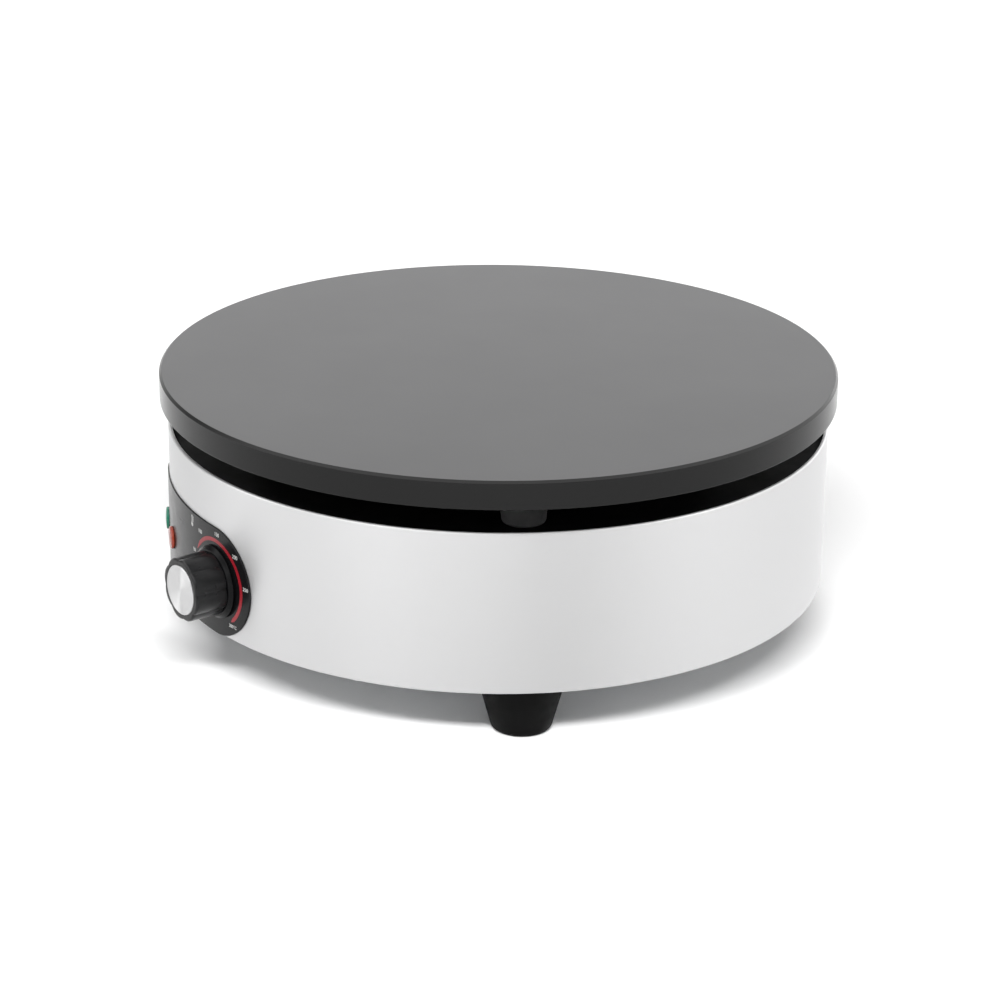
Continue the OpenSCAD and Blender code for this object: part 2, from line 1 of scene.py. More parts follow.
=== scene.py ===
"""Looks of the electric crepe maker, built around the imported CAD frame.

Lengths in the mesh code are millimetres in the row frame; every mesh is turned into metres when it is made.
Azimuths are degrees from -Y towards +X, as in the CAD.
"""
import math

import bpy  # noqa: E402
import numpy as np  # noqa: E402
from mathutils import Matrix, Vector  # noqa: E402


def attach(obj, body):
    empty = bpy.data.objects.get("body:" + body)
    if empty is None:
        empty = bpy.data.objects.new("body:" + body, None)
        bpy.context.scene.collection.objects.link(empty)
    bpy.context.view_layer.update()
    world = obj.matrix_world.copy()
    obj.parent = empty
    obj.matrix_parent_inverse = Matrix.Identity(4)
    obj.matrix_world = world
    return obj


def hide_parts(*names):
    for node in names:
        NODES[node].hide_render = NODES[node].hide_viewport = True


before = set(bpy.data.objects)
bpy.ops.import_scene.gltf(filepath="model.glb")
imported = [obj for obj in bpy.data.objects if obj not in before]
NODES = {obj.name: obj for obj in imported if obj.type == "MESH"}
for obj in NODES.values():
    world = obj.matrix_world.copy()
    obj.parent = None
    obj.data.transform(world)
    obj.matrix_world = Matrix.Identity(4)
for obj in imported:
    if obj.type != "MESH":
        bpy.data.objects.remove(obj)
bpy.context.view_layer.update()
SCENE = bpy.context.scene
MM = 0.001

# ---------------------------------------------------------------- dimensions
PLATE_R, PLATE_Z0, PLATE_Z1 = 200.0, 150.0, 166.5
BODY_R, BODY_T, BODY_Z0, BODY_Z1 = 195.5, 1.2, 40.0, 135.0
BODY_RI = BODY_R - BODY_T
PANEL_R = BODY_R + 0.9
KNOB_Z = 72.0
PANEL_ZC, PANEL_H = 72.5, 32.5
LAMP1, LAMP2 = -21.6, -31.0
OFF = 209.0
KNOB_F = 219.6
FEET = {"foot_right": 60.0, "foot_rear": 180.0, "foot_left": 300.0}
FOOT_PCR = 150.0


# ---------------------------------------------------------------- mesh tools
def arc(cx, cy, r, a0, a1, n):
    t = np.radians(np.linspace(a0, a1, n + 1))
    return [(cx + r * math.cos(a), cy + r * math.sin(a)) for a in t]


def fillet(points, closed=True, steps=6, hold=0.0):
    """Rounds the corners of a polygon. Each point is (x, y) or (x, y, radius); hold adds a point that far before and
    after each rounding, so that smooth shading stays flat on the flats."""
    out = []
    n = len(points)
    for i, p in enumerate(points):
        r = p[2] if len(p) > 2 else 0.0
        c = np.array(p[:2], float)
        if r <= 0 or (not closed and i in (0, n - 1)):
            out.append(tuple(c))
            continue
        a = np.array(points[i - 1][:2], float) - c
        b = np.array(points[(i + 1) % n][:2], float) - c
        la, lb = np.linalg.norm(a), np.linalg.norm(b)
        a, b = a / la, b / lb
        half = math.acos(max(-1, min(1, float(a @ b)))) / 2
        d = min(r / math.tan(half), la * 0.49, lb * 0.49)
        r = d * math.tan(half)
        centre = c + (a + b) / np.linalg.norm(a + b) * (r / math.sin(half))
        s, e = c + a * d, c + b * d
        a0 = math.atan2(*(s - centre)[::-1])
        a1 = math.atan2(*(e - centre)[::-1])
        while a1 - a0 > math.pi:
            a1 -= 2 * math.pi
        while a1 - a0 < -math.pi:
            a1 += 2 * math.pi
        if hold and d + hold < la * 0.5:
            out.append(tuple(c + a * (d + hold)))
        for k in range(steps + 1):
            t = a0 + (a1 - a0) * k / steps
            out.append((float(centre[0] + r * math.cos(t)), float(centre[1] + r * math.sin(t))))
        if hold and d + hold < lb * 0.5:
            out.append(tuple(c + b * (d + hold)))
    return [(float(x), float(y)) for x, y in out]


def make(name, verts, faces, mats, face_mat=None, sharp=30.0, smooth=True):
    me = bpy.data.meshes.new(name)
    co = (np.asarray(verts, float) * MM).tolist()
    me.from_pydata(co, [], [list(map(int, f)) for f in faces])
    ob = bpy.data.objects.new(name, me)
    SCENE.collection.objects.link(ob)
    for m in mats:
        me.materials.append(m)
    if face_mat is not None:
        me.polygons.foreach_set("material_index", np.asarray(face_mat, np.int32))
    me.validate()
    me.update()
    if smooth:
        me.shade_smooth()
        me.set_sharp_from_angle(angle=math.radians(sharp))
    return ob


def lathe(profile, n=192, closed=True, shape=None):
    """Verts and faces of a profile of (r, z) turned about Z. Points with r = 0 become one vertex. shape(angle, r, z)
    may return another radius. The profile runs counter-clockwise in the (r, z) plane for faces that look outwards."""
    verts, rings = [], []
    th = 2 * math.pi * np.arange(n) / n
    for r, z in profile:
        if r < 1e-6:
            rings.append([len(verts)])
            verts.append((0.0, 0.0, z))
        else:
            rr = np.array([shape(a, r, z) for a in th]) if shape else np.full(n, r)
            rings.append(list(range(len(verts), len(verts) + n)))
            verts += list(zip(rr * np.cos(th), rr * np.sin(th), np.full(n, z)))
    faces, seg = [], []
    m = len(rings)
    for i in range(m if closed else m - 1):
        a, b = rings[i], rings[(i + 1) % m]
        if len(a) == 1 and len(b) == 1:
            continue
        for k in range(n):
            j = (k + 1) % n
            if len(a) == 1:
                faces.append((a[0], b[j], b[k]))
            elif len(b) == 1:
                faces.append((a[k], a[j], b[0]))
            else:
                faces.append((a[k], a[j], b[j], b[k]))
            seg.append(i)
    return np.array(verts, float), faces, seg


def turn(p, az):
    a = math.radians(az)
    p = np.asarray(p, float)
    return np.stack([p[:, 0] * math.cos(a) - p[:, 1] * math.sin(a), p[:, 0] * math.sin(a) + p[:, 1] * math.cos(a), p[:, 2]], 1)


def outward(p, az=0.0, z=KNOB_Z):
    """Local x to the right, y up, z out of the drum, at that azimuth and height."""
    p = np.asarray(p, float)
    return turn(np.stack([p[:, 0], -p[:, 2], p[:, 1] + z], 1), az)


def at(p, az, r, z=0.0):
    p = np.asarray(p, float).copy()
    p[:, 1] -= r
    p[:, 2] += z
    return turn(p, az)


def on_drum(xy, r, zc=KNOB_Z, az=0.0):
    """Points drawn flat about the knob's axis (x to the right, y up), laid on the drum at radius r."""
    xy = np.asarray(xy, float)
    a = np.arcsin(np.clip(xy[:, 0] / r, -1, 1)) + math.radians(az)
    return np.stack([r * np.sin(a), -r * np.cos(a), xy[:, 1] + zc], 1)


def merged(parts):
    """Several (verts, faces) as one."""
    verts, faces, base = [], [], 0
    for v, f in parts:
        verts.append(np.asarray(v, float))
        faces += [tuple(i + base for i in q) for q in f]
        base += len(v)
    return np.vstack(verts), faces


def flipped(faces):
    return [tuple(reversed(f)) for f in faces]


def cut(ob, cutters, sharp=30.0):
    """Cuts closed cutter objects out of ob for good and removes them."""
    for c in cutters:
        m = ob.modifiers.new("cut", "BOOLEAN")
        m.operation, m.solver, m.object = "DIFFERENCE", "EXACT", c
    bpy.context.view_layer.update()
    dg = bpy.context.evaluated_depsgraph_get()
    me = bpy.data.meshes.new_from_object(ob.evaluated_get(dg))
    ob.modifiers.clear()
    old = ob.data
    ob.data = me
    me.name = old.name
    bpy.data.meshes.remove(old)
    for c in cutters:
        d = c.data
        bpy.data.objects.remove(c)
        bpy.data.meshes.remove(d)
    me.shade_smooth()
    me.set_sharp_from_angle(angle=math.radians(sharp))
    return ob


def rod(r, h, n=64):
    """Verts and faces of a closed cylinder from z = 0 to h, for cutting."""
    v, f, _ = lathe([(0, 0), (r, 0), (r, h), (0, h)], n, closed=False)
    return v, f


# ---------------------------------------------------------------- materials
def srgb(v):
    """Linear value of an sRGB level 0..255, or of a triple of them."""
    if isinstance(v, (int, float)):
        c = v / 255.0
        return c / 12.92 if c <= 0.04045 else ((c + 0.055) / 1.055) ** 2.4
    return tuple(srgb(x) for x in v)


class Mat:
    """A Principled material whose colour, roughness and bump vary with procedural nodes."""

    def __init__(self, name, base, rough, metallic=0.0, spec=0.5, ior=1.5, coat=0.0, coat_rough=0.05, aniso=0.0,
                 aniso_rot=0.0, transmission=0.0, subsurface=0.0, sheen=0.0, alpha=1.0):
        self.m = bpy.data.materials.new(name)
        self.m.use_nodes = True
        self.t = self.m.node_tree
        self.t.nodes.clear()
        self.out = self.t.nodes.new("ShaderNodeOutputMaterial")
        self.b = self.t.nodes.new("ShaderNodeBsdfPrincipled")
        self.t.links.new(self.b.outputs["BSDF"], self.out.inputs["Surface"])
        i = self.b.inputs
        i["Base Color"].default_value = (*base, 1)
        i["Roughness"].default_value = rough
        i["Metallic"].default_value = metallic
        i["Specular IOR Level"].default_value = spec
        i["IOR"].default_value = ior
        i["Coat Weight"].default_value = coat
        i["Coat Roughness"].default_value = coat_rough
        i["Anisotropic"].default_value = aniso
        i["Anisotropic Rotation"].default_value = aniso_rot
        i["Transmission Weight"].default_value = transmission
        i["Subsurface Weight"].default_value = subsurface
        i["Sheen Weight"].default_value = sheen
        i["Alpha"].default_value = alpha
        self.base, self.rough = base, rough
        self.coords = None
        self.normal = None

    def node(self, kind, **props):
        n = self.t.nodes.new(kind)
        for k, v in props.items():
            setattr(n, k, v)
        return n

    def link(self, a, b):
        self.t.links.new(a, b)

    def pos(self):
        if self.coords is None:
            self.coords = self.node("ShaderNodeTexCoord").outputs["Object"]
        return self.coords

    def stretched(self, scale, loc=(0, 0, 0)):
        n = self.node("ShaderNodeMapping")
        n.inputs["Scale"].default_value = scale
        n.inputs["Location"].default_value = loc
        self.link(self.pos(), n.inputs["Vector"])
        return n.outputs["Vector"]

    def math(self, op, a, b=None, clamp=False):
        n = self.node("ShaderNodeMath", operation=op, use_clamp=clamp)
        for k, v in enumerate((a, b)):
            if v is None:
                continue
            if isinstance(v, (int, float)):
                n.inputs[k].default_value = v
            else:
                self.link(v, n.inputs[k])
        return n.outputs[0]

    def polar(self, axis="Z", k_ang=1.0, k_r=1.0, k_h=1.0):
        """(angle, radius, height) about the object's own Z axis, or about the knob's axis, each times its factor."""
        sep = self.node("ShaderNodeSeparateXYZ")
        self.link(self.pos(), sep.inputs[0])
        x, y, z = sep.outputs
        if axis == "Y":
            x, y, z = x, self.math("SUBTRACT", z, KNOB_Z * MM), y
        ang = self.math("ARCTAN2", y, x)
        rad = self.math("SQRT", self.math("ADD", self.math("MULTIPLY", x, x), self.math("MULTIPLY", y, y)))
        c = self.node("ShaderNodeCombineXYZ")
        self.link(self.math("MULTIPLY", ang, k_ang), c.inputs[0])
        self.link(self.math("MULTIPLY", rad, k_r), c.inputs[1])
        self.link(self.math("MULTIPLY", z, k_h), c.inputs[2])
        return c.outputs[0]

    def noise(self, scale, detail=3.0, rough=0.55, vector=None, distortion=0.0):
        n = self.node("ShaderNodeTexNoise")
        n.inputs["Scale"].default_value = scale
        n.inputs["Detail"].default_value = detail
        n.inputs["Roughness"].default_value = rough
        n.inputs["Distortion"].default_value = distortion
        self.link(vector if vector is not None else self.pos(), n.inputs["Vector"])
        return n.outputs["Fac"]

    def remap(self, fac, lo, hi, fmin=0.3, fmax=0.7):
        n = self.node("ShaderNodeMapRange")
        n.inputs["From Min"].default_value = fmin
        n.inputs["From Max"].default_value = fmax
        n.inputs["To Min"].default_value = lo
        n.inputs["To Max"].default_value = hi
        self.link(fac, n.inputs["Value"])
        return n.outputs["Result"]

    def colour(self, fac, stops):
        n = self.node("ShaderNodeValToRGB")
        e = n.color_ramp.elements
        e[0].position, e[0].color = stops[0][0], (*stops[0][1], 1)
        e[1].position, e[1].color = stops[-1][0], (*stops[-1][1], 1)
        for p, c in stops[1:-1]:
            k = e.new(p)
            k.color = (*c, 1)
        self.link(fac, n.inputs["Fac"])
        self.link(n.outputs["Color"], self.b.inputs["Base Color"])
        return n

    def vary(self, fac, amount, fmin=0.3, fmax=0.7):
        """Base colour from (1 - amount) to (1 + amount) of itself."""
        lo = tuple(max(0, c * (1 - amount)) for c in self.base)
        hi = tuple(min(1, c * (1 + amount)) for c in self.base)
        return self.colour(fac, [(fmin, lo), (fmax, hi)])

    def roughness(self, fac, lo, hi, fmin=0.3, fmax=0.7):
        self.link(self.remap(fac, lo, hi, fmin, fmax), self.b.inputs["Roughness"])

    def bump(self, fac, distance_mm, strength=1.0):
        n = self.node("ShaderNodeBump")
        n.inputs["Strength"].default_value = strength
        n.inputs["Distance"].default_value = distance_mm * MM
        self.link(fac, n.inputs["Height"])
        if self.normal is not None:
            self.link(self.normal, n.inputs["Normal"])
        self.normal = n.outputs["Normal"]
        self.link(self.normal, self.b.inputs["Normal"])
        return n

    def tangent(self, axis="Z"):
        n = self.node("ShaderNodeTangent", direction_type="RADIAL", axis=axis)
        self.link(n.outputs["Tangent"], self.b.inputs["Tangent"])


M = {}

# seasoned, ground iron: the cooking face keeps its own tone; the rim and its chamfer take darker copies of the same
# iron, painted shade for the upright edge
m = Mat("iron_face", srgb((40, 40, 41)), 0.36, spec=0.28)
wear = m.noise(9.0, 4.0, 0.6)
m.vary(wear, 0.04)
rings = m.noise(1.0, 2.0, 0.6, vector=m.polar(k_ang=0.35, k_r=900.0, k_h=1.0))
m.roughness(m.noise(14.0, 5.0, 0.6), 0.35, 0.37)
m.bump(rings, 0.012, 0.35)
m.bump(m.noise(1400.0, 3.0, 0.6), 0.01, 0.3)
M["iron_face"] = m.m

# rim: the plate's iron darkened, painted shade of the upright side
m = Mat("iron_rim_painted_shade", srgb((5, 5, 5)), 0.18, spec=0.24)
m.vary(m.noise(22.0, 4.0, 0.6), 0.12)
m.roughness(m.noise(40.0, 4.0, 0.6), 0.15, 0.2)
m.bump(m.noise(1100.0, 3.0, 0.6), 0.012, 0.3)
M["iron_rim_painted_shade"] = m.m

# chamfer: the plate's iron darkened less, painted shade between the face and the rim
m = Mat("iron_edge_painted_shade", srgb((14, 14, 14)), 0.3, spec=0.22)
m.vary(m.noise(22.0, 4.0, 0.6), 0.1)
m.roughness(m.noise(40.0, 4.0, 0.6), 0.26, 0.36)
m.bump(m.noise(1100.0, 3.0, 0.6), 0.012, 0.3)
M["iron_edge_painted_shade"] = m.m

m = Mat("post_iron", srgb((136, 136, 137)), 0.5, spec=0.4)
m.vary(m.noise(120.0, 4.0, 0.6), 0.12)
m.roughness(m.noise(200.0, 4.0, 0.6), 0.42, 0.58)
m.bump(m.noise(1500.0, 3.0, 0.6), 0.02, 0.35)
M["post_iron"] = m.m

# satin stainless: fine grain that runs round the drum
m = Mat("stainless", (0.566, 0.566, 0.569), 0.4, metallic=1.0, aniso=0.65, aniso_rot=0.25)
m.tangent("Z")
grain = m.noise(1.0, 4.0, 0.65, vector=m.polar(k_ang=7.0, k_r=40.0, k_h=5200.0))
m.vary(grain, 0.018)
m.roughness(grain, 0.42, 0.5)
m.bump(grain, 0.004, 0.25)
M["stainless"] = m.m

m = Mat("zinc_steel", (0.62, 0.63, 0.64), 0.35, metallic=1.0)
m.vary(m.noise(160.0, 4.0, 0.6), 0.08)
m.roughness(m.noise(300.0, 4.0, 0.6), 0.28, 0.44)
m.bump(m.noise(2500.0, 2.0, 0.5), 0.006, 0.3)
M["zinc_steel"] = m.m

m = Mat("element_sheath", (0.12, 0.11, 0.10), 0.5, metallic=0.7)
m.colour(m.noise(60.0, 4.0, 0.6), [(0.3, (0.07, 0.065, 0.06)), (0.55, (0.13, 0.115, 0.10)), (0.75, (0.17, 0.13, 0.10))])
m.roughness(m.noise(180.0, 4.0, 0.6), 0.42, 0.62)
m.bump(m.noise(1800.0, 3.0, 0.6), 0.015, 0.3)
M["element_sheath"] = m.m

m = Mat("black_enamel", srgb((24, 24, 24)), 0.45, spec=0.02)
m.vary(m.noise(30.0, 4.0, 0.6), 0.15)
m.roughness(m.noise(50.0, 4.0, 0.6), 0.38, 0.52)
m.bump(m.noise(500.0, 2.0, 0.5), 0.02, 0.25)
M["black_enamel"] = m.m

m = Mat("ceramic_fibre", (0.78, 0.75, 0.66), 0.95, spec=0.2)
m.vary(m.noise(90.0, 5.0, 0.7), 0.08)
m.bump(m.noise(700.0, 5.0, 0.8, distortion=1.5), 0.25, 0.7)
M["ceramic_fibre"] = m.m

m = Mat("copper", (0.75, 0.36, 0.22), 0.35, metallic=1.0)
m.colour(m.noise(130.0, 4.0, 0.6), [(0.3, (0.52, 0.25, 0.15)), (0.7, (0.80, 0.42, 0.27))])
m.roughness(m.noise(300.0, 4.0, 0.6), 0.25, 0.5)
M["copper"] = m.m

m = Mat("foot_rubber", srgb((8, 8, 8)), 0.5, spec=0.06)
m.vary(m.noise(70.0, 4.0, 0.6), 0.12)
m.roughness(m.noise(160.0, 4.0, 0.6), 0.47, 0.63)
m.bump(m.noise(1900.0, 2.0, 0.5), 0.02, 0.35)
M["foot_rubber"] = m.m

m = Mat("seal_rubber", srgb((34, 34, 35)), 0.7, spec=0.3)
m.vary(m.noise(200.0, 4.0, 0.6), 0.12)
m.bump(m.noise(2200.0, 2.0, 0.5), 0.02, 0.35)
M["seal_rubber"] = m.m

# printed control panel: smooth lacquered black film, which reads grey to the left only by reflection
m = Mat("panel_black", srgb((12, 12, 13)), 0.24, spec=0.17)
m.vary(m.noise(60.0, 3.0, 0.6), 0.06)
m.roughness(m.noise(90.0, 3.0, 0.6), 0.22, 0.28)
m.bump(m.noise(420.0, 2.0, 0.5), 0.004, 0.25)
M["panel_black"] = m.m

m = Mat("knob_black", srgb((9, 9, 10)), 0.29, spec=0.3)
m.vary(m.noise(160.0, 3.0, 0.6), 0.06)
m.roughness(m.noise(260.0, 3.0, 0.6), 0.27, 0.31)
m.bump(m.noise(1500.0, 2.0, 0.5), 0.003, 0.2)
M["knob_black"] = m.m

# skirt: a darker, duller copy of the knob's black plastic, painted shade where the skirt meets the panel
m = Mat("skirt_black_painted_shade", srgb((6, 6, 7)), 0.24, spec=0.1)
m.vary(m.noise(160.0, 3.0, 0.6), 0.1)
m.roughness(m.noise(260.0, 3.0, 0.6), 0.18, 0.26)
M["skirt_black_painted_shade"] = m.m

# spun aluminium: fine rings about the knob's axis
m = Mat("cap_aluminium", (0.59, 0.59, 0.592), 0.4, metallic=1.0, aniso=0.9, aniso_rot=0.25)
m.tangent("Y")
spin = m.noise(1.0, 3.0, 0.6, vector=m.polar("Y", k_ang=0.5, k_r=5200.0, k_h=1.0))
m.vary(spin, 0.03)
m.roughness(spin, 0.35, 0.46)
m.bump(spin, 0.004, 0.3)
M["cap_aluminium"] = m.m

for key, rgb in (("print_white", (190, 190, 188)), ("print_red", (124, 16, 28))):
    m = Mat(key, srgb(rgb), 0.38, spec=0.4)
    m.vary(m.noise(900.0, 3.0, 0.6), 0.07)
    m.roughness(m.noise(400.0, 3.0, 0.6), 0.32, 0.46)
    m.bump(m.noise(2500.0, 2.0, 0.5), 0.005, 0.3)
    M[key] = m.m

m = Mat("brass", (0.78, 0.57, 0.25), 0.35, metallic=1.0)
m.vary(m.noise(150.0, 4.0, 0.6), 0.12)
m.roughness(m.noise(300.0, 4.0, 0.6), 0.26, 0.46)
M["brass"] = m.m

m = Mat("ceramic", (0.86, 0.84, 0.78), 0.35, spec=0.5)
m.vary(m.noise(120.0, 4.0, 0.6), 0.04)
m.roughness(m.noise(200.0, 4.0, 0.6), 0.3, 0.5)
m.bump(m.noise(900.0, 2.0, 0.5), 0.01, 0.3)
M["ceramic"] = m.m

m = Mat("lens_green", srgb((10, 98, 76)), 0.14, spec=0.45, subsurface=0.25)
m.b.inputs["Subsurface Radius"].default_value = (0.3, 1.0, 0.6)
m.b.inputs["Subsurface Scale"].default_value = 0.004
m.vary(m.noise(180.0, 2.0, 0.5), 0.12)
m.roughness(m.noise(300.0, 2.0, 0.5), 0.1, 0.18)
M["lens_green"] = m.m

m = Mat("lens_orange", srgb((126, 48, 34)), 0.14, spec=0.45, subsurface=0.25)
m.b.inputs["Subsurface Radius"].default_value = (1.0, 0.4, 0.1)
m.b.inputs["Subsurface Scale"].default_value = 0.004
m.vary(m.noise(180.0, 2.0, 0.5), 0.12)
m.roughness(m.noise(300.0, 2.0, 0.5), 0.1, 0.18)
M["lens_orange"] = m.m

for key, rgb, r0, r1 in (("lamp_nylon", (222, 220, 210), 0.35, 0.5), ("gland_nylon", (30, 30, 31), 0.36, 0.5),
                         ("wire_brown", (96, 56, 34), 0.35, 0.5), ("wire_blue", (30, 74, 158), 0.35, 0.5),
                         ("wire_green", (86, 142, 46), 0.35, 0.5), ("wire_white", (224, 222, 214), 0.4, 0.55),
                         ("wire_red", (186, 44, 38), 0.35, 0.5)):
    m = Mat(key, srgb(rgb), r0, spec=0.45)
    m.vary(m.noise(200.0, 3.0, 0.6), 0.07)
    m.roughness(m.noise(320.0, 3.0, 0.6), r0, r1)
    m.bump(m.noise(1600.0, 2.0, 0.5), 0.008, 0.3)
    M[key] = m.m

SLOT_OF = {
    "hotplate": "cast_iron", "plate_posts": "post_iron", "tie_rods": "zinc_steel", "rod_sleeves": "zinc_steel",
    "heating_element": "element_sheath", "element_clamp": "zinc_steel", "clamp_studs": "zinc_steel",
    "stud_washers": "zinc_steel", "stud_nuts": "zinc_steel", "insulation_disc": "ceramic_fibre",
    "heat_shield": "black_enamel", "sensor_bulb": "copper", "bulb_clip": "zinc_steel", "capillary_tube": "copper",
    "top_deck": "black_enamel", "body_shell": "stainless", "bottom_cover": "zinc_steel", "rivet_nuts": "zinc_steel",
    "cover_screws": "zinc_steel", "foot_right": "foot_rubber", "foot_rear": "foot_rubber", "foot_left": "foot_rubber",
    "foot_inserts": "zinc_steel", "control_panel": "panel_black", "thermostat_case": "ceramic",
    "thermostat_tabs": "brass", "thermostat_bush": "brass", "thermostat_bracket": "zinc_steel",
    "thermostat_screws": "zinc_steel", "bracket_screws": "zinc_steel", "thermal_cutout": "ceramic",
    "cutout_screws": "zinc_steel", "terminal_block": "ceramic", "terminal_screws": "brass", "earth_stud": "brass",
    "earth_lug": "zinc_steel", "earth_nut": "brass", "green_lens": "lens_green", "orange_lens": "lens_orange",
    "lamp_bodies": "lamp_nylon", "lamp_clips": "zinc_steel", "gland_body": "gland_nylon", "gland_seal": "seal_rubber",
    "gland_dome_nut": "gland_nylon", "gland_lock_nut": "gland_nylon", "live_wire": "wire_brown",
    "neutral_wire": "wire_blue", "earth_wire": "wire_green", "element_wires": "wire_white", "lamp_wires": "wire_red",
    "terminal_beads": "ceramic", "knob_shaft": "zinc_steel", "knob_insert": "brass", "knob_skirt": "knob_black",
    "knob_body": "knob_black", "knob_cap": "cap_aluminium", "knob_grub_screw": "zinc_steel",
    "knob_pointer": "print_white",
}
for name, ob in NODES.items():
    mat = M.get(SLOT_OF[name], M.get("iron_rim_painted_shade"))
    if ob.material_slots:
        for s in ob.material_slots:
            s.material = mat
    else:
        ob.data.materials.append(mat)


def stand_in(ob, body, slot, *nodes):
    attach(ob, body)
    if nodes:
        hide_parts(*nodes)
    return ob


# ---------------------------------------------------------------- cooking plate
prof = fillet([(0, PLATE_Z0), (PLATE_R, PLATE_Z0, 0.5), (PLATE_R, PLATE_Z1 - 1.4, 0.35), (PLATE_R - 1.4, PLATE_Z1, 0.35), (0, PLATE_Z1)],
              steps=6, hold=0.2)
rings = [190, 170, 145, 118, 92, 66, 40, 16]
prof = prof[:-1] + [(float(r), PLATE_Z1) for r in rings] + [(0.0, PLATE_Z1)]
under = [16, 40, 66, 92, 118, 145, 170, 188]
prof = prof[:1] + [(float(r), PLATE_Z0) for r in under] + prof[1:]
v, f, seg = lathe(prof, 384, closed=False)
top_from = next(i for i, p in enumerate(prof) if abs(p[1] - PLATE_Z1) < 1e-6)
edge_from = next(i for i, p in enumerate(prof) if p[1] > PLATE_Z1 - 1.42)
# rim and chamfer faces take the darker copies of the iron, painted shade; the top face takes the plain iron
plate = make("cooking_plate", v, f, [M["iron_rim_painted_shade"], M["iron_face"], M["iron_edge_painted_shade"]],
             [1 if s >= top_from - 1 else 2 if s >= edge_from else 0 for s in seg])
cutters = []
for a in (60, 180, 300):
    v, f = rod(4.0, 10.0, 32)
    cutters.append(make("cutter", at(v, a, FOOT_PCR, PLATE_Z0 - 1), f, []))
for a in (45, 135, 225, 315):
    v, f = rod(3.0, 9.0, 32)
    cutters.append(make("cutter", at(v, a, 98, PLATE_Z0 - 1), f, []))
cut(plate, cutters)
stand_in(plate, "body", "cast_iron", "hotplate")

# ---------------------------------------------------------------- posts between deck and plate
post = [(4.3, 124.5), (10.6, 124.5)] + arc(10.6, 126.5, 2.0, -90, 0, 8)[1:] + [(14.2, PLATE_Z0 - 0.5), (13.9, PLATE_Z0), (4.3, PLATE_Z0)]
parts = []
for a in (60, 180, 300):
    v, f, _ = lathe(post, 96)
    parts.append((at(v, a, FOOT_PCR), f))
v, f = merged(parts)
stand_in(make("plate_posts_fine", v, f, [M["post_iron"]]), "body", "post_iron", "plate_posts")

# ---------------------------------------------------------------- drum
hem = arc(BODY_R - BODY_T, BODY_Z1 - BODY_T, BODY_T, 0, 180, 16)
prof = ([(177.0, BODY_Z0), (190.0, BODY_Z0)] + arc(BODY_R - 1.6, BODY_Z0 + 1.6, 1.6, -90, 0, 10)
        + [(BODY_R, BODY_Z0 + 2.2), (BODY_R, 60), (BODY_R, 86), (BODY_R, 110), (BODY_R, BODY_Z1 - BODY_T - 0.4)]
        + hem + [(BODY_RI - BODY_T, BODY_Z1 - 1.6), (BODY_RI - BODY_T, BODY_Z1 - 7.3), (BODY_RI - BODY_T + 0.2, BODY_Z1 - 7.5),
                 (BODY_RI, BODY_Z1 - 7.5), (BODY_RI, 100), (BODY_RI, 70), (BODY_RI, BODY_Z0 + BODY_T + 0.6),
                 (BODY_RI - 0.6, BODY_Z0 + BODY_T), (190.0, BODY_Z0 + BODY_T), (177.0, BODY_Z0 + BODY_T)])
v, f, _ = lathe(prof, 384)
drum = make("drum", v, f, [M["stainless"]])
cutters = []
for r, az, z in ((6.0, 0, KNOB_Z), (5.6, LAMP1, KNOB_Z), (5.6, LAMP2, KNOB_Z), (10.2, 180, KNOB_Z)):
    v, f = rod(r, 60.0, 64)
    v[:, 2] += 170.0
    cutters.append(make("cutter", outward(v, az, z), f, []))
for a in (30, 90, 150, 210, 270, 330):
    v, f = rod(2.7, 6.0, 32)
    cutters.append(make("cutter", at(v, a, 185, BODY_Z0 - 2), f, []))
cut(drum, cutters)
stand_in(drum, "body", "stainless", "body_shell")

# ---------------------------------------------------------------- deck inside the rim
prof = ([(0, 122.9), (150, 122.9), (191.4, 122.9), (192.7, 121.5), (192.7, 112.9), (194.25, 112.9)]
        + arc(192.25, 122.5, 2.0, 0, 90, 10) + [(188, 124.5), (170, 124.5), (150, 124.5), (100, 124.5), (50, 124.5), (0, 124.5)])
v, f, _ = lathe(prof, 256, closed=False)
deck = make("deck", v, f, [M["black_enamel"]])
cutters = []
holes = [(4.3, 60, 150), (4.3, 180, 150), (4.3, 300, 150), (7.0, 190, 115), (7.0, 149, 45), (4.0, 38, 62)]
for r, a, d in holes:
    v, f = rod(r, 8.0, 48)
    cutters.append(make("cutter", at(v, a, d, 120.0), f, []))
cut(deck, cutters)
stand_in(deck, "body", "black_enamel", "top_deck")

# ---------------------------------------------------------------- feet
c = 17.8 - 3.5
foot = ([(0.0, 0.0), (c * 0.5, 0.0), (c - 0.6, 0.0)] + arc(c, 3.5, 3.5, -90, -14, 14))
foot += [(foot[-1][0] + 0.12, foot[-1][1] + 0.5), (22.0, 20.0), (27.5 - 0.75, 38.8 - 2.8)]
foot += [(27.5 - 0.6, 38.8 - 2.2)] + arc(27.5 - 1.2, 38.8 - 1.2, 1.2, 0, 90, 8) + [(24.0, 38.8), (7.05, 38.8), (7.05, 12.0), (0.0, 12.0)]
# the wall's middle point lies on the straight line between its ends
ia = next(i for i, p in enumerate(foot) if p == (22.0, 20.0))
a0, a1 = foot[ia - 1], foot[ia + 1]
foot[ia] = (a0[0] + (a1[0] - a0[0]) * (20.0 - a0[1]) / (a1[1] - a0[1]), 20.0)
for name, a in FEET.items():
    v, f, _ = lathe(foot, 128, closed=False)
    ob = make(name + "_fine", at(v, a, FOOT_PCR), f, [M["foot_rubber"]])
    stand_in(ob, "body", "foot_rubber", name)

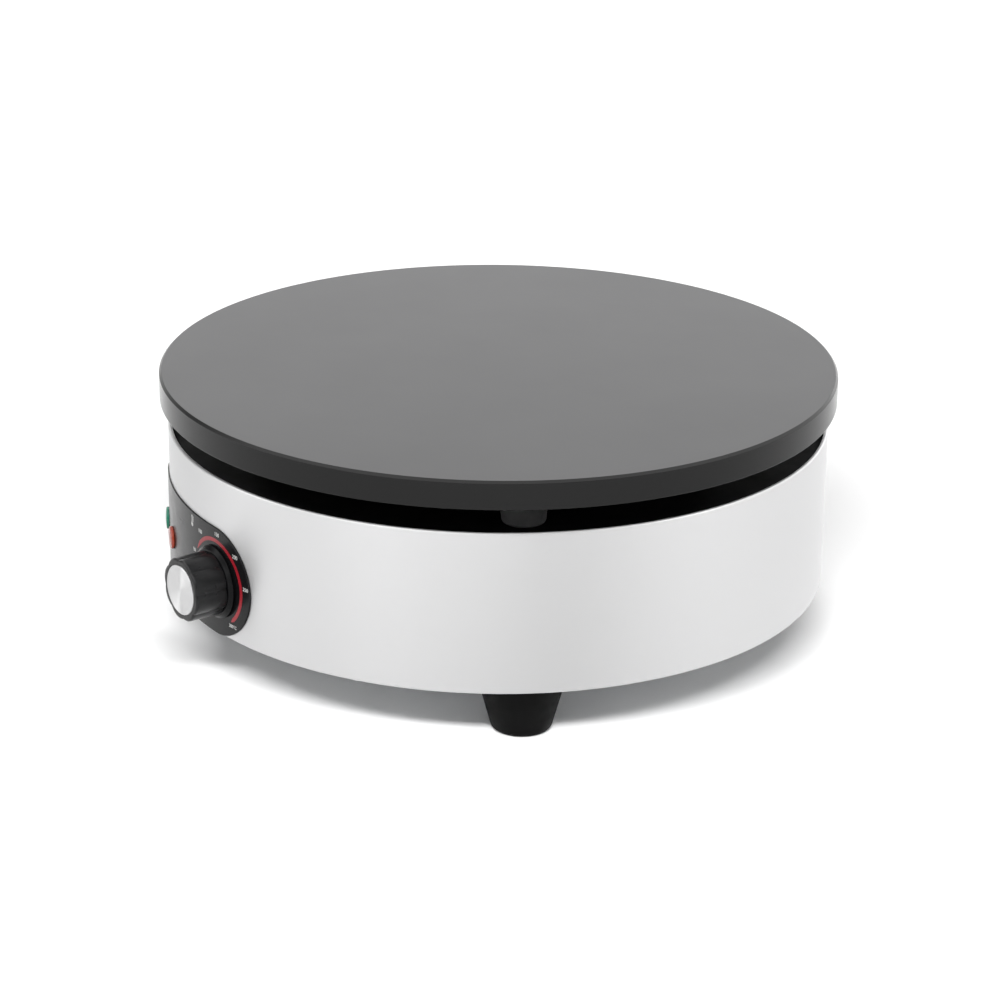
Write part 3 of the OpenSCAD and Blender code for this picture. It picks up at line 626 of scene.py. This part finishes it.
# ---------------------------------------------------------------- control panel
def panel_loop(e, r_out, n_end=40, n_mid=48):
    """Columns (azimuth, half height) of the panel's outline, moved in by e."""
    hr, h, cols = PANEL_H - e, PANEL_H - e, []
    for k in range(n_end + 1):
        t = math.radians(-90 + 90 * k / n_end)
        cols.append((LAMP2 + math.degrees(math.asin(hr * math.sin(t) / r_out)), min(hr * math.cos(t), h)))
    for k in range(1, n_mid):
        cols.append((LAMP2 * (1 - k / n_mid), h))
    for k in range(n_end + 1):
        t = math.radians(90 * k / n_end)
        cols.append((math.degrees(math.asin(hr * math.sin(t) / r_out)), min(hr * math.cos(t), h)))
    return cols


def panel_mesh():
    rows = 12
    verts, faces = [], []
    levels = [(0.55, PANEL_R), (0.3, PANEL_R), (0.15, PANEL_R - 0.04), (0.04, PANEL_R - 0.15), (0.0, PANEL_R - 0.3), (0.0, BODY_R + 0.02)]

    def grid(e, r):
        cols = panel_loop(e, r)
        idx = []
        for az, h in cols:
            a = math.radians(az)
            h = max(h, 0.02)
            col = []
            for j in range(rows + 1):
                col.append(len(verts))
                verts.append((r * math.sin(a), -r * math.cos(a), PANEL_ZC - h + 2 * h * j / rows))
            idx.append(col)
        return idx

    def edge(idx):
        n = len(idx)
        return ([idx[i][0] for i in range(n)] + [idx[n - 1][j] for j in range(1, rows)] + [idx[i][rows] for i in range(n - 1, -1, -1)]
                + [idx[0][j] for j in range(rows - 1, 0, -1)])

    front = grid(*levels[0])
    for i in range(len(front) - 1):
        for j in range(rows):
            faces.append((front[i][j], front[i + 1][j], front[i + 1][j + 1], front[i][j + 1]))
    last = edge(front)
    for e, r in levels[1:-1]:
        cols = panel_loop(e, r)
        loop = []
        n = len(cols)
        pts = ([(cols[i][0], -cols[i][1]) for i in range(n)] + [(cols[-1][0], -cols[-1][1] + 2 * cols[-1][1] * j / rows) for j in range(1, rows)]
               + [(cols[i][0], cols[i][1]) for i in range(n - 1, -1, -1)] + [(cols[0][0], cols[0][1] - 2 * cols[0][1] * j / rows) for j in range(1, rows)])
        for az, h in pts:
            a = math.radians(az)
            loop.append(len(verts))
            verts.append((r * math.sin(a), -r * math.cos(a), PANEL_ZC + h))
        for k in range(len(loop)):
            j = (k + 1) % len(loop)
            faces.append((last[k], loop[k], loop[j], last[j]))
        last = loop
    back = grid(*levels[-1])
    for i in range(len(back) - 1):
        for j in range(rows):
            faces.append((back[i][j], back[i][j + 1], back[i + 1][j + 1], back[i + 1][j]))
    eb = edge(back)
    for k in range(len(eb)):
        j = (k + 1) % len(eb)
        faces.append((last[k], eb[k], eb[j], last[j]))
    return verts, faces


v, f = panel_mesh()
panel = make("control_panel_fine", v, f, [M["panel_black"]], sharp=40)
cutters = []
for az in (0, LAMP1, LAMP2):
    v, f = rod(5.6, 60.0, 64)
    v[:, 2] += 170.0
    cutters.append(make("cutter", outward(v, az), f, []))
cut(panel, cutters, sharp=40)
stand_in(panel, "body", "panel_black", "control_panel")

# ---------------------------------------------------------------- pilot lamps
def lens_profile():
    z = PANEL_R
    p = [(0.0, BODY_RI - 1.4), (5.3, BODY_RI - 1.4), (5.3, z + 0.02), (6.45, z + 0.02), (6.7, z + 0.2)]
    p += arc(6.7 - 0.75, z + 1.05, 0.75, 0, 62, 8)
    top = arc(0.0, z + 2.3 - 24.0, 24.0, 75.5, 90, 10)
    return p + top[:-1] + [(0.0, z + 2.3)]


for name, a, key in (("green_lens", LAMP2, "lens_green"), ("orange_lens", LAMP1, "lens_orange")):
    v, f, _ = lathe(lens_profile(), 96, closed=False)
    ob = make(name + "_fine", outward(v, a), f, [M[key]])
    stand_in(ob, "body", key, name)


# ---------------------------------------------------------------- knob
def lobed(t, inset=0.0, n=8, c=8.2, rho=10.4):
    """Radius of the knob's outline at angle t (radians, 0 at the first lobe)."""
    step = 2 * math.pi / n
    d = (t + step / 2) % step - step / 2
    return c * math.cos(d) + math.sqrt(rho * rho - (c * math.sin(d)) ** 2) - inset


OFF_R = math.radians(OFF)
z0, z1 = PANEL_R + 3.3, KNOB_F
levels = [(0.25, z0), (0.0, z0 + 0.25), (0.0, z0 + 6), (0.0, z0 + 12), (0.0, z1 - 1.9)]
levels += [(1.3 - 1.3 * math.cos(math.radians(q)), z1 - 1.3 + 1.3 * math.sin(math.radians(q))) for q in (0, 18, 36, 54, 72, 90)]
N = 8 * 32
th = [OFF_R + 2 * math.pi * k / N for k in range(N)]
verts, rings_ = [], []


def ring_shape(inset, z):
    r = []
    for k, t in enumerate(th):
        q = lobed(2 * math.pi * k / N, inset)
        r.append(len(verts))
        verts.append((q * math.cos(t), q * math.sin(t), z))
    rings_.append(r)


def ring_round(radius, z):
    r = []
    for t in th:
        r.append(len(verts))
        verts.append((radius * math.cos(t), radius * math.sin(t), z))
    rings_.append(r)


ring_round(14.0, z0)
for inset, z in levels:
    # each ring follows the lobed outline; the back ring is drawn in a little and the front ring is rounded
    ring_shape(inset, z)
ring_round(15.0, z1)
ring_round(14.78, z1 - 0.12)
ring_round(14.7, z1 - 0.5)
ring_round(14.7, z1 - 1.6)
ring_round(6.1, z1 - 1.6)
ring_round(6.1, z1 - 2.9)
ring_round(6.1, z0)
m_ = len(rings_)
faces = []
for i in range(m_):
    a, b = rings_[i], rings_[(i + 1) % m_]
    for k in range(N):
        j = (k + 1) % N
        faces.append((a[k], a[j], b[j], b[k]))
knob = make("knob_grip", outward(verts), faces, [M["knob_black"]], sharp=28)
v, f = rod(1.7, 30.0, 32)
v = np.stack([v[:, 0], -v[:, 2], v[:, 1] + PANEL_R + 9], 1)
cutter = make("cutter", outward(v), f, [])
cut(knob, [cutter], sharp=28)
stand_in(knob, "knob", "knob_black", "knob_body")

r0 = PANEL_R + 0.6
prof = ([(14.0, r0), (20.9, r0)] + arc(20.85, PANEL_R + 1.15, 0.55, -85, 55, 10)
        + [(20.9, PANEL_R + 1.75), (19.62, PANEL_R + 3.05), (19.45, PANEL_R + 3.2), (19.2, PANEL_R + 3.3), (14.0, PANEL_R + 3.3)])
v, f, _ = lathe(prof, 192)
skirt = make("knob_skirt_fine", outward(v), f, [M["skirt_black_painted_shade"]])


def block(x0, x1, y0, y1, z0_, z1_):
    v = [(x, y, z) for x in (x0, x1) for y in (y0, y1) for z in (z0_, z1_)]
    f = [(0, 1, 3, 2), (4, 6, 7, 5), (0, 4, 5, 1), (2, 3, 7, 6), (0, 2, 6, 4), (1, 5, 7, 3)]
    return np.array(v, float), f


def spin2(v, ang):
    a = math.radians(ang)
    v = np.asarray(v, float)
    return np.stack([v[:, 0] * math.cos(a) - v[:, 1] * math.sin(a), v[:, 0] * math.sin(a) + v[:, 1] * math.cos(a), v[:, 2]], 1)


v, f = block(16, 24, -0.85, 0.85, PANEL_R + 2.2, PANEL_R + 7)
cut(skirt, [make("cutter", outward(spin2(v, OFF)), f, [])])
stand_in(skirt, "knob", "knob_black", "knob_skirt")

# white pointer set in the skirt: a wedge that follows the skirt's cone
w, zb = 0.8, PANEL_R + 2.25
pr = [(16.05, zb), (20.55, zb), (19.62, PANEL_R + 3.1), (19.45, PANEL_R + 3.25), (16.05, PANEL_R + 3.25)]
v, f = [], []
for s in (-w, w):
    for x, z in pr:
        v.append((math.sqrt(max(x * x - s * s, 0)), s, z))
n = len(pr)
f.append(tuple(range(n)))
f.append(tuple(range(2 * n - 1, n - 1, -1)))
for k in range(n):
    j = (k + 1) % n
    f.append((k, k + n, j + n, j))
stand_in(make("knob_pointer_fine", outward(spin2(v, OFF)), f, [M["print_white"]], sharp=20), "knob", "print_white", "knob_pointer")

# aluminium cap: slightly dished face with a turned edge
z = KNOB_F
prof = [(0.0, z - 1.6), (14.6, z - 1.6), (14.6, z - 0.05)] + arc(14.25, z - 0.05, 0.35, 0, 90, 6)[1:] + [
    (13.6, z + 0.3), (13.2, z + 0.24), (12.9, z + 0.2), (9.0, z + 0.17), (5.0, z + 0.15), (2.0, z + 0.14), (0.0, z + 0.14)]
v, f, _ = lathe(prof, 192, closed=False)
stand_in(make("knob_cap_fine", outward(v), f, [M["cap_aluminium"]]), "knob", "cap_aluminium", "knob_cap")

# ---------------------------------------------------------------- dial print on the panel
PRINT_R = PANEL_R + 0.05


def strip(radius, width, a0, a1, n):
    v, f = [], []
    for k in range(n + 1):
        a = math.radians(a0 + (a1 - a0) * k / n)
        for r in (radius - width / 2, radius + width / 2):
            v.append((r * math.cos(a), r * math.sin(a)))
    for k in range(n):
        f.append((2 * k, 2 * k + 1, 2 * k + 3, 2 * k + 2))
    return v, f


def thick(v2, f2, r0_, r1_):
    """A flat drawing laid on the drum between two radii, as a closed shell. v2 and f2 are 2D points and faces."""
    v2 = np.asarray(v2, float)
    n = len(v2)
    area = 0.0
    for q in f2:
        p = v2[list(q)]
        area += sum(p[i][0] * p[(i + 1) % len(q)][1] - p[(i + 1) % len(q)][0] * p[i][1] for i in range(len(q)))
    if area < 0:
        f2 = flipped(f2)
    count = {}
    for q in f2:
        for i in range(len(q)):
            count[(q[i], q[(i + 1) % len(q)])] = 1
    border = [e for e in count if (e[1], e[0]) not in count]
    verts = np.vstack([on_drum(v2, r1_), on_drum(v2, r0_)])
    faces = [tuple(q) for q in f2] + [tuple(i + n for i in reversed(q)) for q in f2]
    faces += [(b, a, a + n, b + n) for a, b in border]
    return verts, faces


# red arc of even width, tapered at both ends, from low heat to high
v2, f2 = [], []
a_lo, a_hi, steps = 149.0, -52.0, 120
for k in range(steps + 1):
    s = k / steps
    a = math.radians(a_lo + (a_hi - a_lo) * s)
    w = 2.3 * min(1.0, 0.25 + s * 12) * min(1.0, 0.3 + (1 - s) * 25)
    for r in (25.1 - w / 2, 25.1 + w / 2):
        v2.append((r * math.cos(a), r * math.sin(a)))
for k in range(steps):
    f2.append((2 * k, 2 * k + 1, 2 * k + 3, 2 * k + 2))
v, f = thick(v2, f2, PANEL_R - 0.02, PRINT_R)
stand_in(make("dial_arc", v, f, [M["print_red"]]), "body", "print_red")


def text_mesh(body, size):
    """2D points and faces of a line of figures, centred on the origin, in millimetres."""
    cu = bpy.data.curves.new("t", "FONT")
    cu.body, cu.size, cu.align_x, cu.align_y = body, size, "CENTER", "CENTER"
    cu.resolution_u = 4
    ob = bpy.data.objects.new("t", cu)
    SCENE.collection.objects.link(ob)
    bpy.context.view_layer.update()
    me = bpy.data.meshes.new_from_object(ob.evaluated_get(bpy.context.evaluated_depsgraph_get()))
    v = np.array([x.co[:2] for x in me.vertices], float)
    f = [tuple(p.vertices) for p in me.polygons]
    bpy.data.meshes.remove(me)
    bpy.data.objects.remove(ob)
    bpy.data.curves.remove(cu)
    # weld points that share a place, so that only the outline has open edges
    key, index, first = {}, [], []
    for p in v:
        k = (round(p[0], 5), round(p[1], 5))
        if k not in key:
            key[k] = len(first)
            first.append(p)
        index.append(key[k])
    v = np.array(first)
    f = [tuple(index[i] for i in q) for q in f]
    f = [q for q in f if len(set(q)) == len(q)]
    v = v - (v.min(0) + v.max(0)) / 2
    return v, f


labels = [("0", 209.0, 28.0, 3.3), ("50", 158.0, 28.2, 3.3), ("100", 125.0, 30.2, 3.3), ("150", 85.3, 29.3, 3.3), ("200", 46.6, 29.0, 3.3),
          ("250", 7.8, 29.3, 3.1), ("300°C", -53.2, 27.9, 2.8)]
for text, ang, rad, size in labels:
    v2, f2 = text_mesh(text, size)
    v2 = v2 + np.array([rad * math.cos(math.radians(ang)), rad * math.sin(math.radians(ang))])
    v, f = thick(v2, f2, PANEL_R - 0.02, PRINT_R)
    name = "dial_" + text.replace("°C", "")
    stand_in(make(name, v, f, [M["print_white"]], sharp=20), "body", "print_white")

# a small thermometer, the usual sign for heat
parts = []
outline = arc(0, 2.6, 0.75, 0, 180, 10) + [(-0.75, -1.2)] + arc(0, -2.3, 1.35, 125, 415, 22) + [(0.75, -1.2)]
inner = arc(0, 2.6, 0.38, 0, 180, 10) + [(-0.38, -1.4)] + arc(0, -2.3, 0.95, 114, 426, 22) + [(0.38, -1.4)]
n = len(outline)
v2 = outline + inner
f2 = [(k, (k + 1) % n, (k + 1) % n + n, k + n) for k in range(n)]
parts.append((v2, f2))
v2 = arc(0, -2.3, 0.6, 0, 345, 23)
parts.append((v2, [tuple(range(len(v2)))]))
for y in (2.4, 1.2, 0.0):
    parts.append(([(1.25, y - 0.16), (2.3, y - 0.16), (2.3, y + 0.16), (1.25, y + 0.16)], [(0, 1, 2, 3)]))
flat, faces, base = [], [], 0
for v2, f2 in parts:
    flat += list(v2)
    faces += [tuple(i + base for i in q) for q in f2]
    base += len(v2)
flat = np.array(flat) + np.array([-28.7, 27.6])
v, f = thick(flat, faces, PANEL_R - 0.02, PRINT_R)
stand_in(make("dial_thermometer", v, f, [M["print_white"]], sharp=20), "body", "print_white")

# ---------------------------------------------------------------- cable gland at the rear
def hexed(af, n=96, corner=1.0):
    """Radius of a hexagon with rounded corners, by angle."""
    def shape(t, r, z):
        d = (t + math.pi / 6) % (math.pi / 3) - math.pi / 6
        return min(af / 2 / math.cos(d), r)
    return shape


def hex_ring(af, z0_, z1_, r_corner, chamfer, bore, n=144):
    s = hexed(af)
    v, rr = [], []

    def ring(fn, z):
        idx = []
        for k in range(n):
            t = 2 * math.pi * k / n
            q = fn(t)
            idx.append(len(v))
            v.append((q * math.cos(t), q * math.sin(t), z))
        rr.append(idx)

    ring(lambda t: bore, z0_)
    ring(lambda t: min(s(t, r_corner - chamfer, 0), af / 2 - 0.15), z0_)
    ring(lambda t: s(t, r_corner, 0), z0_ + chamfer * 0.6)
    ring(lambda t: s(t, r_corner, 0), z1_ - chamfer * 0.6)
    ring(lambda t: min(s(t, r_corner - chamfer, 0), af / 2 - 0.15), z1_)
    ring(lambda t: bore, z1_)
    f = []
    for i in range(len(rr)):
        a, b = rr[i], rr[(i + 1) % len(rr)]
        for k in range(n):
            j = (k + 1) % n
            f.append((a[k], a[j], b[j], b[k]))
    return np.array(v, float), f


# body: flanged hexagon outside the wall and a threaded barrel through it
parts = []
v, f = hex_ring(2 * 14 * math.cos(math.pi / 6), BODY_R + 0.1, BODY_R + 5.1, 13.2, 0.7, 6.0)
prof = [(6.0, BODY_RI - 11), (9.2, BODY_RI - 11), (9.9, BODY_RI - 10.3)]
zz = BODY_RI - 10.0
while zz < BODY_RI - 0.8:
    prof += [(9.9, zz), (9.35, zz + 0.55), (9.35, zz + 0.75), (9.9, zz + 1.3)]
    zz += 1.5
prof += [(9.9, BODY_R + 0.2), (9.9, BODY_R + 5.2)]
zz = BODY_R + 5.4
while zz < BODY_R + 11.0:
    prof += [(9.9, zz), (9.35, zz + 0.55), (9.35, zz + 0.75), (9.9, zz + 1.3)]
    zz += 1.5
prof += [(9.9, BODY_RI + 12.6), (9.5, BODY_RI + 13.0), (6.0, BODY_RI + 13.0)]
bv, bf, _ = lathe(prof, 96)
v, f = merged([(v, f), (bv, bf)])
stand_in(make("gland_body_fine", outward(v, 180), f, [M["gland_nylon"]]), "body", "gland_nylon", "gland_body")

# dome nut: hexagon that runs into a smooth dome
hv, hf = hex_ring(2 * 13.4 * math.cos(math.pi / 6), BODY_R + 5.3, BODY_R + 14.8, 12.8, 0.7, 9.95)
dome = ([(9.95, BODY_R + 12.1), (9.95, BODY_R + 14.0), (11.4, BODY_R + 14.0)] + arc(4.4, BODY_R + 17.4, 7.0, 0, 84, 16)
        + [(5.5, BODY_R + 24.35), (5.2, BODY_R + 24.2), (5.2, BODY_R + 22.2), (7.5, BODY_R + 22.2), (7.5, BODY_R + 12.1)])
dv, df, _ = lathe(dome, 128)
v, f = merged([(hv, hf), (dv, df)])
stand_in(make("gland_dome_nut_fine", outward(v, 180), f, [M["gland_nylon"]]), "body", "gland_nylon", "gland_dome_nut")

prof = fillet([(4.6, BODY_R + 12.2), (7.4, BODY_R + 12.2, 0.3), (7.4, BODY_R + 15.0), (6.9, BODY_R + 22.15, 0.4), (5.1, BODY_R + 22.2), (4.6, BODY_R + 21.7)], steps=4)
v, f, _ = lathe(prof, 96)
stand_in(make("gland_seal_fine", outward(v, 180), f, [M["seal_rubber"]]), "body", "seal_rubber", "gland_seal")

# ---------------------------------------------------------------- screws under the bottom cover
def pan_screw(r, length, hr, hh):
    """Pan head, whose cross recess is cut separately. Head's underside at z = 0, shank down."""
    prof = [(0.0, -length), (r - 0.35, -length), (r, -length + 0.5)]
    z_ = -length + 0.7
    while z_ < -0.9:
        prof += [(r, z_), (r - 0.22, z_ + 0.3), (r, z_ + 0.6)]
        z_ += 0.7
    prof += [(r, 0.0), (hr - 0.15, 0.0), (hr, 0.15), (hr, hh * 0.4)]
    prof += arc(hr - hh * 0.6, hh * 0.4, hh * 0.6, 0, 80, 8)[1:] + [(hr * 0.35, hh - 0.02), (0.0, hh)]
    return lathe(prof, 64, closed=False)[:2]


def cross_cut(hr, hh, w_):
    a, fa = block(-hr * 0.55, hr * 0.55, -w_ / 2, w_ / 2, hh * 0.5, hh * 1.6)
    b, fb = block(-w_ / 2, w_ / 2, -hr * 0.55, hr * 0.55, hh * 0.5, hh * 1.6)
    return (a, fa), (b, fb)


parts, cuts = [], []
for a in (30, 90, 150, 210, 270, 330):
    v, f = pan_screw(2.0, 7.0, 4.0, 2.3)
    flip = lambda q: np.stack([q[:, 0], -q[:, 1], -q[:, 2]], 1)
    parts.append((at(flip(v), a, 185, 38.8), f))
    for cv, cf in cross_cut(4.0, 2.3, 0.95):
        cuts.append(make("cutter", at(flip(cv), a, 185, 38.8), cf, []))
v, f = merged(parts)
screws = make("cover_screws_fine", v, f, [M["zinc_steel"]])
cut(screws, cuts)
stand_in(screws, "body", "zinc_steel", "cover_screws")

# ---------------------------------------------------------------- camera
cam_data = bpy.data.cameras.new("camera")
cam_data.sensor_width = 36.0
cam_data.lens = 115.02
cam_data.clip_start, cam_data.clip_end = 0.05, 60.0
cam_data.dof.use_dof = False
cam = bpy.data.objects.new("camera", cam_data)
SCENE.collection.objects.link(cam)
right = Vector((0.57990568, 0.81463122, 0.00924))
up = Vector((-0.29745513, 0.2011612, 0.93330307))
back = Vector((0.75843909, -0.54397624, 0.35897075))
loc = Vector((1.45772704, -1.04363006, 0.7687))
cam.matrix_world = Matrix(((right.x, up.x, back.x, loc.x), (right.y, up.y, back.y, loc.y), (right.z, up.z, back.z, loc.z), (0, 0, 0, 1)))
SCENE.camera = cam

# ---------------------------------------------------------------- studio
floor_mat = bpy.data.materials.new("studio_floor")
floor_mat.use_nodes = True
fb = floor_mat.node_tree.nodes["Principled BSDF"]
fb.inputs["Base Color"].default_value = (0.86, 0.86, 0.86, 1)
fb.inputs["Roughness"].default_value = 0.9
fb.inputs["Specular IOR Level"].default_value = 0.1
# the floor runs out into the white of the room, so that it has no horizon
ft = floor_mat.node_tree
away = ft.nodes.new("ShaderNodeVectorMath")
away.operation = "LENGTH"
ft.links.new(ft.nodes.new("ShaderNodeTexCoord").outputs["Object"], away.inputs[0])
glow = ft.nodes.new("ShaderNodeMapRange")
glow.interpolation_type = "SMOOTHERSTEP"
glow.inputs["From Min"].default_value, glow.inputs["From Max"].default_value = 0.7, 1.9
glow.inputs["To Min"].default_value, glow.inputs["To Max"].default_value = 0.0, 1.0
ft.links.new(away.outputs["Value"], glow.inputs["Value"])
fb.inputs["Emission Color"].default_value = (1, 1, 1, 1)
ft.links.new(glow.outputs["Result"], fb.inputs["Emission Strength"])
floor_mat.cycles.emission_sampling = "NONE"
me = bpy.data.meshes.new("floor")
me.from_pydata([(-12, -12, 0), (12, -12, 0), (12, 12, 0), (-12, 12, 0)], [], [(0, 1, 2, 3)])
me.materials.append(floor_mat)
floor = bpy.data.objects.new("floor", me)
SCENE.collection.objects.link(floor)

world = bpy.data.worlds.new("studio")
SCENE.world = world
world.use_nodes = True
wt = world.node_tree
wt.nodes.clear()
wo = wt.nodes.new("ShaderNodeOutputWorld")
lp = wt.nodes.new("ShaderNodeLightPath")
direction = wt.nodes.new("ShaderNodeTexCoord").outputs["Generated"]


def background(strength):
    n = wt.nodes.new("ShaderNodeBackground")
    n.inputs["Color"].default_value = (1, 1, 1, 1)
    n.inputs["Strength"].default_value = strength
    return n


def studio_math(op, a, b):
    n = wt.nodes.new("ShaderNodeMath")
    n.operation = op
    for k, v_ in enumerate((a, b)):
        if isinstance(v_, (int, float)):
            n.inputs[k].default_value = v_
        else:
            wt.links.new(v_, n.inputs[k])
    return n.outputs[0]


flat_dir = wt.nodes.new("ShaderNodeVectorMath")
flat_dir.operation = "MULTIPLY"
flat_dir.inputs[1].default_value = (1, 1, 0)
wt.links.new(direction, flat_dir.inputs[0])
level_dir = wt.nodes.new("ShaderNodeVectorMath")
level_dir.operation = "NORMALIZE"
wt.links.new(flat_dir.outputs["Vector"], level_dir.inputs[0])
height = wt.nodes.new("ShaderNodeSeparateXYZ")
wt.links.new(direction, height.inputs[0])
height = height.outputs[2]


def ramp(value, lo, hi, amount):
    n = wt.nodes.new("ShaderNodeMapRange")
    n.interpolation_type = "SMOOTHERSTEP"
    n.inputs["From Min"].default_value = lo
    n.inputs["From Max"].default_value = hi
    n.inputs["To Min"].default_value = 0.0
    n.inputs["To Max"].default_value = amount
    wt.links.new(value, n.inputs["Value"])
    return n.outputs["Result"]


def wall(az, width, amount):
    """amount over a stretch of wall at that azimuth, fading out width degrees to either side and towards the ceiling."""
    a = math.radians(az)
    dot = wt.nodes.new("ShaderNodeVectorMath")
    dot.operation = "DOT_PRODUCT"
    dot.inputs[1].default_value = (math.sin(a), -math.cos(a), 0)
    wt.links.new(level_dir.outputs["Vector"], dot.inputs[0])
    side_on = ramp(dot.outputs["Value"], math.cos(math.radians(width)), 1.0, amount)
    return studio_math("MULTIPLY", side_on, ramp(height, 0.8, 0.45, 1.0))


# the room as the metal sees it: pale walls, a brighter ceiling, and a few darker stretches of wall
room = background(1.0)
strength = studio_math("ADD", 1.0, ramp(height, 0.45, 0.8, 1.5))
for az, width, amount in ((75, 19, -1.0), (-82, 34, -0.8), (-38, 17, 1.6), (172, 50, 0.75)):
    strength = studio_math("ADD", strength, wall(az, width, amount))
# a paler foot of the wall behind the object, which the level cooking face picks up towards its far side
strength = studio_math("ADD", strength, studio_math("MULTIPLY", wall(234, 60, 1.0), ramp(height, 0.55, 0.2, 1.0)))
wt.links.new(strength, room.inputs["Strength"])
seen = wt.nodes.new("ShaderNodeMixShader")
wt.links.new(lp.outputs["Is Glossy Ray"], seen.inputs["Fac"])
wt.links.new(background(1.0).outputs[0], seen.inputs[1])
wt.links.new(room.outputs[0], seen.inputs[2])
mx = wt.nodes.new("ShaderNodeMixShader")
wt.links.new(lp.outputs["Is Diffuse Ray"], mx.inputs["Fac"])
wt.links.new(seen.outputs[0], mx.inputs[1])
wt.links.new(background(0.17).outputs[0], mx.inputs[2])
wt.links.new(mx.outputs[0], wo.inputs["Surface"])


def area(name, az, el, dist, size_x, size_y, power, aim=(0, 0, 0.08), gloss=True, down=False):
    """A soft box at that azimuth and elevation from the middle of the object, facing it or facing the floor."""
    a, e = math.radians(az), math.radians(el)
    d = Vector((math.sin(a) * math.cos(e), -math.cos(a) * math.cos(e), math.sin(e)))
    data = bpy.data.lights.new(name, "AREA")
    data.shape, data.size, data.size_y, data.energy = "RECTANGLE", size_x, size_y, power
    ob = bpy.data.objects.new(name, data)
    ob.location = Vector(aim) + d * dist
    ob.visible_glossy = gloss
    ob.visible_camera = False
    ob.rotation_euler = (0, 0, a) if down else (-d).to_track_quat("-Z", "Y").to_euler()
    SCENE.collection.objects.link(ob)
    return ob


area("key", 51, 40, 4.5, 2.4, 0.4, 300.0, gloss=False)
area("top", 200, 78, 2.6, 2.0, 2.0, 3.0, gloss=False)
# two upright soft boxes whose blurred reflections stand in the satin drum, with a softer gap between them
area("box_left", 14, 27, 2.6, 1.0, 1.6, 8.0)
area("box_right", 124, 27, 2.6, 1.0, 1.6, 8.0)
# keeps the floor white behind the object
area("backdrop", 234.4, 30, 2.6, 2.4, 1.4, 50.0, gloss=False, down=True)

SCENE.view_settings.view_transform = "Standard"
SCENE.view_settings.look = "None"
SCENE.view_settings.exposure = 0.0
SCENE.view_settings.gamma = 1.0
